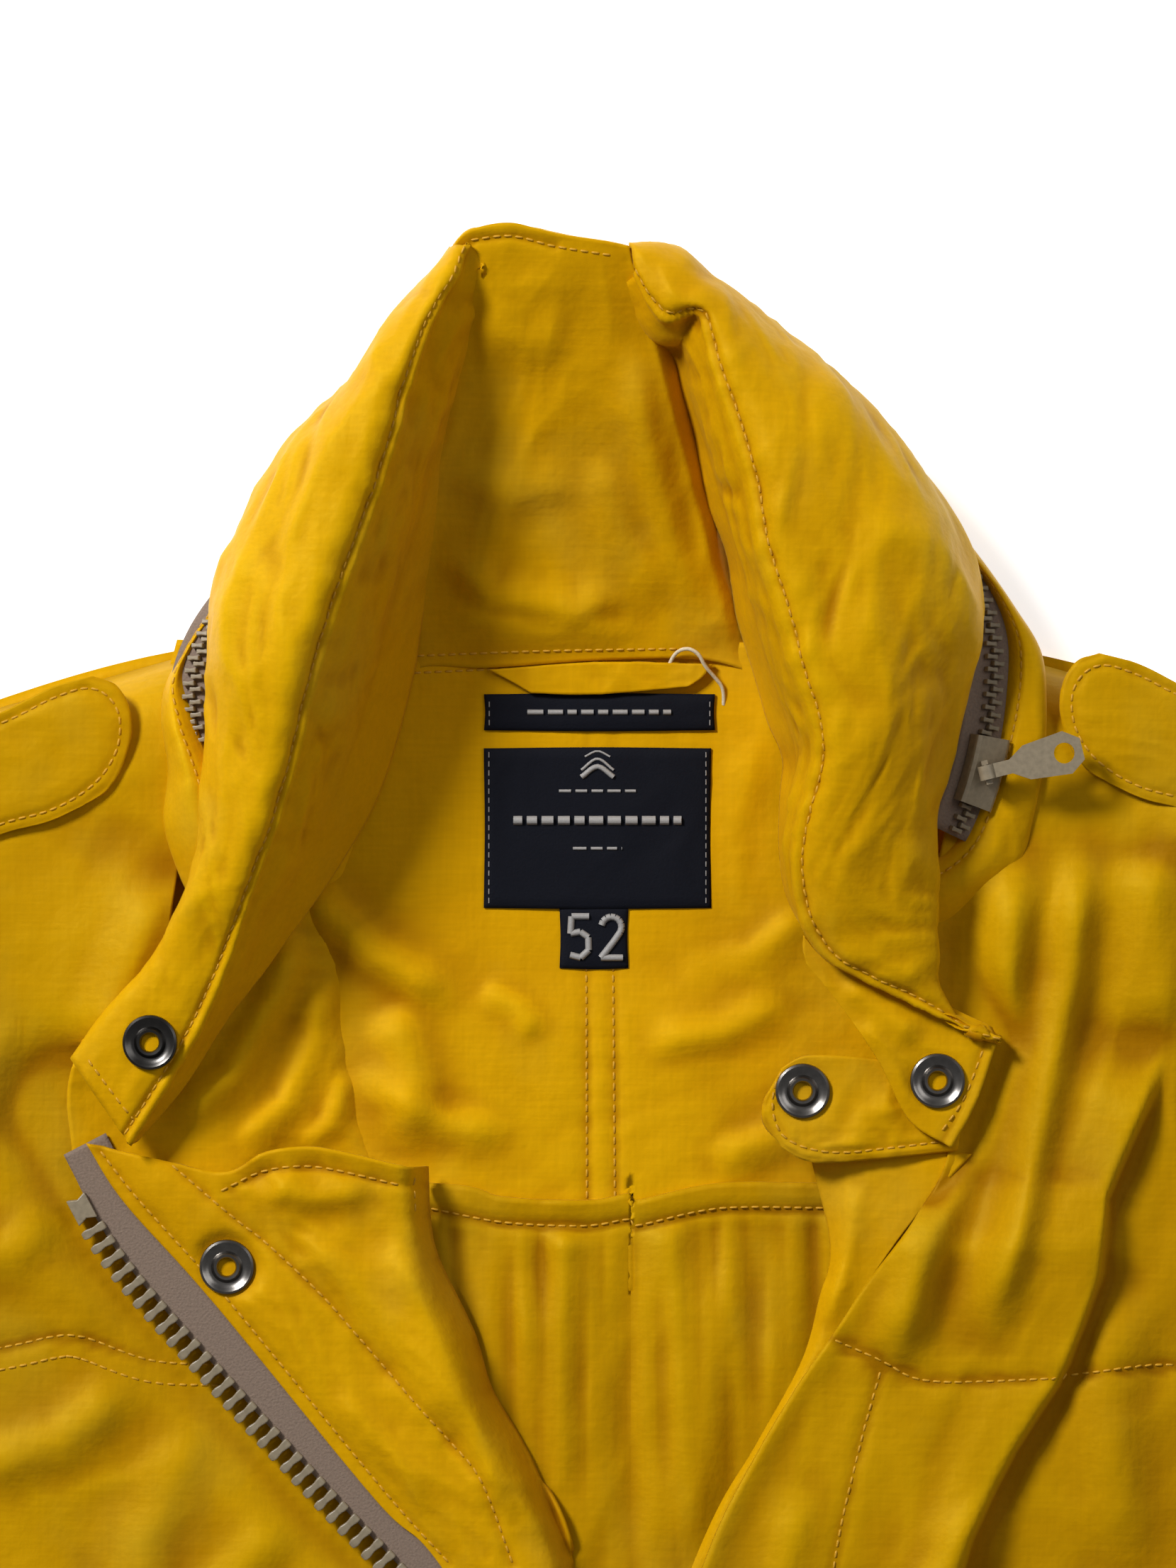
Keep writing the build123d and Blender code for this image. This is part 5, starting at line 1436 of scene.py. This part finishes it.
def pocket_bag(kind, name, a, b, mouth, bottom, seed):
    """A patch pocket between x = a and x = b, standing up from the front, with a box pleat."""
    mid = (a + b) / 2
    corners = [(a + 1, bottom + CORNER), (a + 3, bottom + 3), (a + CORNER, bottom), (mid, bottom - 1),
               (b - CORNER, bottom), (b - 3, bottom + 3), (b - 1, bottom + CORNER)]
    edges = [corners, [(a, mouth), (mid, mouth - 2), (b, mouth)], [corners[0], (a, mouth)],
             [corners[-1], (b, mouth)]]
    grid = patch(*[flat_line(edge, POCKET_TOP) for edge in edges], 90, 100)
    x, y = grid[..., 0], grid[..., 1]
    rim = np.minimum(np.minimum(x - a, b - x), np.abs(line_distance(x, y, corners)[0]))
    round_side = 1 - np.exp(-np.maximum(rim, 0) / 3.4)
    top = POCKET_TOP + 1.4 * crumple(x, y, 34, seed, 20, 1.6) - 0.4
    z = POCKET_FOOT + (np.minimum(top, 29.4) - POCKET_FOOT) * round_side
    for pleat in (mid - 14, mid + 14):
        z += seam(x, y, [(pleat, bottom + 4), (pleat, mouth - 4)], 1.2, 1.4, 0.4)
    grid[..., 2] = z
    piece = f"{kind}_pocket_cloth_{name}"
    cloth_sheet(piece, grid, shade_painted_cloth, "coat", [f"{kind}_pocket_{name}"], thick=1.4)
    sew("coat", piece, [[(a + 5, mouth - 22), (a + 5, bottom + CORNER), (a + CORNER + 4, bottom + 5),
                         (b - CORNER - 4, bottom + 5), (b - 5, bottom + CORNER), (b - 5, mouth - 22)]])


def pocket_flap(kind, name, a, b, seam_y, low_y, seed):
    """The pointed flap over a pocket, from its sewn edge down to its point."""
    mid = (a + b) / 2
    point = [(a - 2, low_y + 14), ((a + mid) / 2, low_y + 6), (mid, low_y), ((b + mid) / 2, low_y + 6),
             (b + 2, low_y + 14)]
    hems = [[(a + 3, seam_y - 5), (a + 3, low_y + 16), (mid, low_y + 5), (b - 3, low_y + 16),
             (b - 3, seam_y - 5)], [(a, seam_y - 3), (b, seam_y - 3)], [(a, seam_y - 9), (b, seam_y - 9)]]
    panel(f"{kind}_flap_cloth_{name}", [f"{kind}_flap_{name}"], point,
          [(a - 2, seam_y), (mid, seam_y + 0.3), (b + 2, seam_y)],
          [(a - 2, low_y + 14), (a - 2, seam_y)], [(b + 2, low_y + 14), (b + 2, seam_y)], FLAP_LEVEL,
          f"{kind}_flap_{name}", seed, hems=hems, rests_on=[f"{kind}_pocket_cloth_{name}"],
          snap=(mid, low_y + 16), rows=(90, 46))


for kind, (inner, outer, mouth, bottom, drop) in POCKETS.items():
    for name, side in (("left", 1), ("right", -1)):
        a, b = sorted((side * inner, side * outer))
        seed = 191 + (kind == "hip") * 4 + (side > 0) * 2
        pocket_bag(kind, name, a, b, mouth, bottom, seed)
        pocket_flap(kind, name, a, b, mouth + 14, mouth + 14 - drop, seed + 20)

# %% Sleeves
PIVOT = (337.0, -131.0)
HEAD_RADIUS = 135.0
SLEEVE_MIDDLE = 12.0
SLEEVE_END = 545
CUFF_START, CUFF_END, CUFF_HALF = 545.4, 607, 64
SLEEVE_TURN = math.radians(20.0)


def on_sleeve(down, out, side):
    """A place on the sleeve: so far down it, and so far to its outer side."""
    x = PIVOT[0] + down * math.sin(SLEEVE_TURN) + out * math.cos(SLEEVE_TURN)
    y = PIVOT[1] - down * math.cos(SLEEVE_TURN) + out * math.sin(SLEEVE_TURN)
    return side * x, y


OUTER_SIDE = [(-101, -30), (-62, 35), (-20, 78), (40, 99), (120, 104), (330, 88), (545, 64)]
INNER_SIDE = [(-101, -36), (-70, -104), (-40, -128), (20, -132), (105, -92), (300, -80), (545, -64)]


def across_sleeve(down):
    """The sleeve's inner and outer edges at a distance down it."""
    inner = np.interp(down, [p[0] for p in INNER_SIDE], [p[1] for p in INNER_SIDE])
    outer = np.interp(down, [p[0] for p in OUTER_SIDE], [p[1] for p in OUTER_SIDE])
    return inner, outer


def sleeve_half(side, top, seed):
    """The upper or under half of a sleeve, crowned between its two folds."""
    rows = []
    for down in np.linspace(-98, 549, 150):
        inner, outer = across_sleeve(min(down, SLEEVE_END))
        row = []
        for share in np.linspace(0, 1, 60):
            out = inner + (outer - inner) * share
            row.append((*on_sleeve(down, out, side), out - inner, outer - out, down))
        rows.append(row)
    rows = np.array(rows)
    rim = np.minimum(rows[..., 2], rows[..., 3])
    crown = np.sqrt(np.clip(rim / 9, 0, 1) * (2 - np.clip(rim / 9, 0, 1)))
    x, y, down = rows[..., 0], rows[..., 1], rows[..., 4]
    wave = 2.4 * crumple(x, y, 60, seed, 70 * side, 1.8) + 1.1 * crumple(x, y, 24, seed + 1, -40 * side, 1.5)
    elbow = np.exp(-((down - 290) / 60) ** 2)
    wave += elbow * 3.0 * grain(down / 17, rows[..., 2] / 90, seed + 2)
    from_pivot = np.hypot(x - side * PIVOT[0], y - PIVOT[1])
    wave *= np.clip(np.abs(from_pivot - HEAD_RADIUS) / 30 - 0.4, 0, 1)
    if top:
        z = SLEEVE_MIDDLE + (11.6 + np.clip(wave, -3, 4)) * crown
    else:
        z = SLEEVE_MIDDLE - 11.0 * crown + 0.4 * np.clip(wave, 0, 2) * crown
    return np.stack([x, y, z], axis=2)


for name, side in (("left", 1), ("right", -1)):
    for half in ("top", "under"):
        nodes = [f"sleeve_top_{name}"] if half == "top" else [f"sleeve_under_{name}", f"sleeve_folds_{name}"]
        grid = sleeve_half(side, half == "top", 221 + (side > 0) * 10 + (half == "top") * 5)
        up = normals_of(grid)[..., 2].mean() > 0
        if up != (half == "top"):
            grid = grid[::-1]
        cloth_sheet(f"sleeve_{half}_cloth_{name}", grid, shade_painted_cloth, f"sleeve_{name}", nodes, thick=1.2)

# %% Armhole edges
EDGE_ON_COAT, EDGE_ON_SLEEVE = 153, 126
EDGE_TOP = 25.2
BARE_LEVEL = 21.0
ARMHOLE_START, ARMHOLE_END = 249, 140


def armhole_edge(side, name):
    """The coat's own edge over the round head of the sleeve, which turns under it."""
    rows = []
    for angle in np.radians(np.linspace(ARMHOLE_START, ARMHOLE_END, 84)):
        row = []
        for radius in np.linspace(EDGE_ON_SLEEVE, EDGE_ON_COAT, 16):
            x, y = PIVOT[0] + radius * math.cos(angle), PIVOT[1] + radius * math.sin(angle)
            spot = to_metres([(side * x, y, 0.0)])[0]
            under, _ = surface(f"{name}_front", float(spot[0]), float(spot[1]))
            low = under.z / MM + 1.3 if under else BARE_LEVEL
            share = np.clip((radius - 140) / 12, 0, 1)
            edge = 1.0 * np.exp(-((radius - EDGE_ON_SLEEVE) / 1.6) ** 2)
            row.append((side * x, y, EDGE_TOP + (max(low, 12.0) - EDGE_TOP) * share ** 1.5 - edge))
        rows.append(row)
    return np.array(rows)


for name, side in (("left", 1), ("right", -1)):
    grid = armhole_edge(side, name)
    if normals_of(grid)[..., 2].mean() < 0:
        grid = grid[::-1]
    cloth_sheet(f"armhole_edge_{name}", grid, shade_painted_cloth, "coat", thick=1.1)
    turns = np.radians(np.linspace(ARMHOLE_START - 2, ARMHOLE_END + 2, 40))
    sew("coat", f"armhole_edge_{name}",
        [[(side * (PIVOT[0] + radius * math.cos(a)), PIVOT[1] + radius * math.sin(a)) for a in turns]
         for radius in (129, 133)])

# %% Cuffs and their tabs
TAB_LEVEL = 26.6


def cuff_half(side, top, seed):
    """One side of the doubled band at the wrist."""
    rows = []
    for down in np.linspace(CUFF_START, CUFF_END, 40):
        rows.append([(*on_sleeve(down, out, side), CUFF_HALF - abs(out), down)
                     for out in np.linspace(-CUFF_HALF, CUFF_HALF, 60)])
    rows = np.array(rows)
    x, y, rim, down = (rows[..., k] for k in range(4))
    crown = np.sqrt(np.clip(rim / 8, 0, 1) * (2 - np.clip(rim / 8, 0, 1)))
    ends = np.minimum(down - CUFF_START, CUFF_END - down)
    wave = 1.0 * crumple(x, y, 26, seed) * np.clip(ends / 6, 0, 1) - 0.8 * np.exp(-(ends / 1.6) ** 2)
    z = SLEEVE_MIDDLE + (12.0 + wave) * crown if top else SLEEVE_MIDDLE - 11.2 * crown
    return np.stack([x, y, z], axis=2)


for name, side in (("left", 1), ("right", -1)):
    for half in ("top", "under"):
        grid = cuff_half(side, half == "top", 251 + (side > 0) * 3)
        if (normals_of(grid)[..., 2].mean() > 0) != (half == "top"):
            grid = grid[::-1]
        piece = f"cuff_{half}_cloth_{name}"
        cloth_sheet(piece, grid, shade_painted_cloth, f"sleeve_{name}", [f"cuff_{name}"] if half == "top" else [],
                    thick=1.6)
        if half == "top":
            for down in (549, 553, 602):
                sew(f"sleeve_{name}", piece, [[on_sleeve(down, -58, side), on_sleeve(down, 58, side)]])
    low, high, tip, seam_end, hem = ([on_sleeve(*spot, side) for spot in line] for line in (
        [(591, 46), (591, 10), (591, -21)], [(561, 46), (561, 10), (561, -21)],
        [(591, -21), (584, -29), (576, -30.5), (568, -29), (561, -21)],
        [(591, 46), (576, 46), (561, 46)],
        [(588, 43), (588, -19), (580, -27), (572, -27), (564, -19), (564, 43)]))
    edges = (low[::-1], high[::-1], tip, seam_end) if side > 0 else (low, high, seam_end, tip)
    panel(f"cuff_tab_cloth_{name}", [f"cuff_tab_{name}"], *edges, TAB_LEVEL, f"cuff_tab_{name}", 261,
          hems=[hem], rows=(50, 26), amount=0.5, rests_on=[f"cuff_top_cloth_{name}"])

# %% Ring snaps
def ring_snap(x, y, z):
    """A ring snap turned on a lathe: rolled rim, dished face, raised inner ring and an open hole."""
    profile = [(2.5, -1.6), (2.5, 0.9), (2.9, 1.5), (3.6, 1.6), (4.1, 1.1), (4.5, 0.55), (5.4, 0.6),
               (6.2, 1.15), (7.0, 1.5), (7.6, 1.1), (7.8, 0.4), (7.6, -0.4), (4.0, -0.5), (3.6, -1.6)]
    bpy.ops.mesh.primitive_plane_add(size=0.001)
    ring = bpy.context.object
    bpy.ops.object.mode_set(mode="EDIT")
    bpy.ops.mesh.delete(type="VERT")
    cage = bmesh.from_edit_mesh(ring.data)
    points = [cage.verts.new((r * MM, 0, h * MM)) for r, h in profile]
    for a, b in zip(points, points[1:] + points[:1]):
        cage.edges.new((a, b))
    bmesh.update_edit_mesh(ring.data)
    bpy.ops.mesh.select_all(action="SELECT")
    bpy.ops.mesh.spin(steps=56, angle=2 * math.pi, center=(0, 0, 0), axis=(0, 0, 1), use_auto_merge=True)
    bpy.ops.mesh.select_all(action="SELECT")
    bpy.ops.mesh.remove_doubles(threshold=0.00001)
    bpy.ops.mesh.normals_make_consistent(inside=False)
    bpy.ops.transform.translate(value=tuple(to_metres((x, y, z))))
    bpy.ops.object.mode_set(mode="OBJECT")
    bpy.ops.object.shade_smooth_by_angle(angle=math.radians(40))
    ring = bpy.context.object
    ring.data.materials.append(gunmetal)
    bpy.ops.object.select_all(action="DESELECT")
    return ring


WING_STUD = (-126.0, -108.0)
STUD_LIFT = 0.4 * MM
SNAPS = {"snap_sockets": ("coat", [(-105, -172, 21.8), (96, -119, 28.3), (58, -122, 24.8)]),
         "storm_flap_snaps": ("storm_flap", [(-15.5, y, 28.4) for y in (-500, -620, -740)])}
for kind, (inner, outer, mouth, _, drop) in POCKETS.items():
    for name, side in (("left", 1), ("right", -1)):
        spot = (side * (inner + outer) / 2, mouth + 14 - drop + 16, 31.0)
        SNAPS[f"{kind}_flap_snap_{name}"] = (f"{kind}_flap_{name}", [spot])
for node, (body, spots) in SNAPS.items():
    rings = [ring_snap(*spot) for spot in spots]
    for ring in rings:
        ring.select_set(True)
    bpy.context.view_layer.objects.active = rings[0]
    if len(rings) > 1:
        bpy.ops.object.join()
    made = bpy.context.object
    made.name = f"{node}_turned"
    bpy.ops.object.select_all(action="DESELECT")
    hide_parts(node)
    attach(made, body)
flat_spot = Vector(to_metres((*WING_STUD, 0.0)))
wing_hit, wing_normal = surface("collar_roll_right", flat_spot.x, flat_spot.y)
wing_stud = ring_snap(*WING_STUD, 0.0)
wing_stud.name = "wing_stud_turned"
wing_stud.data.materials[0] = dark_metal
lean = wing_normal.to_track_quat("Z", "Y").to_matrix().to_4x4()
lifted = Matrix.Translation(wing_hit + wing_normal * STUD_LIFT)
wing_stud.data.transform(lifted @ lean @ Matrix.Translation(-flat_spot))
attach(wing_stud, "coat")
print("snaps", sum(len(v[1]) for v in SNAPS.values()))

# %% Finish
make_stitches()
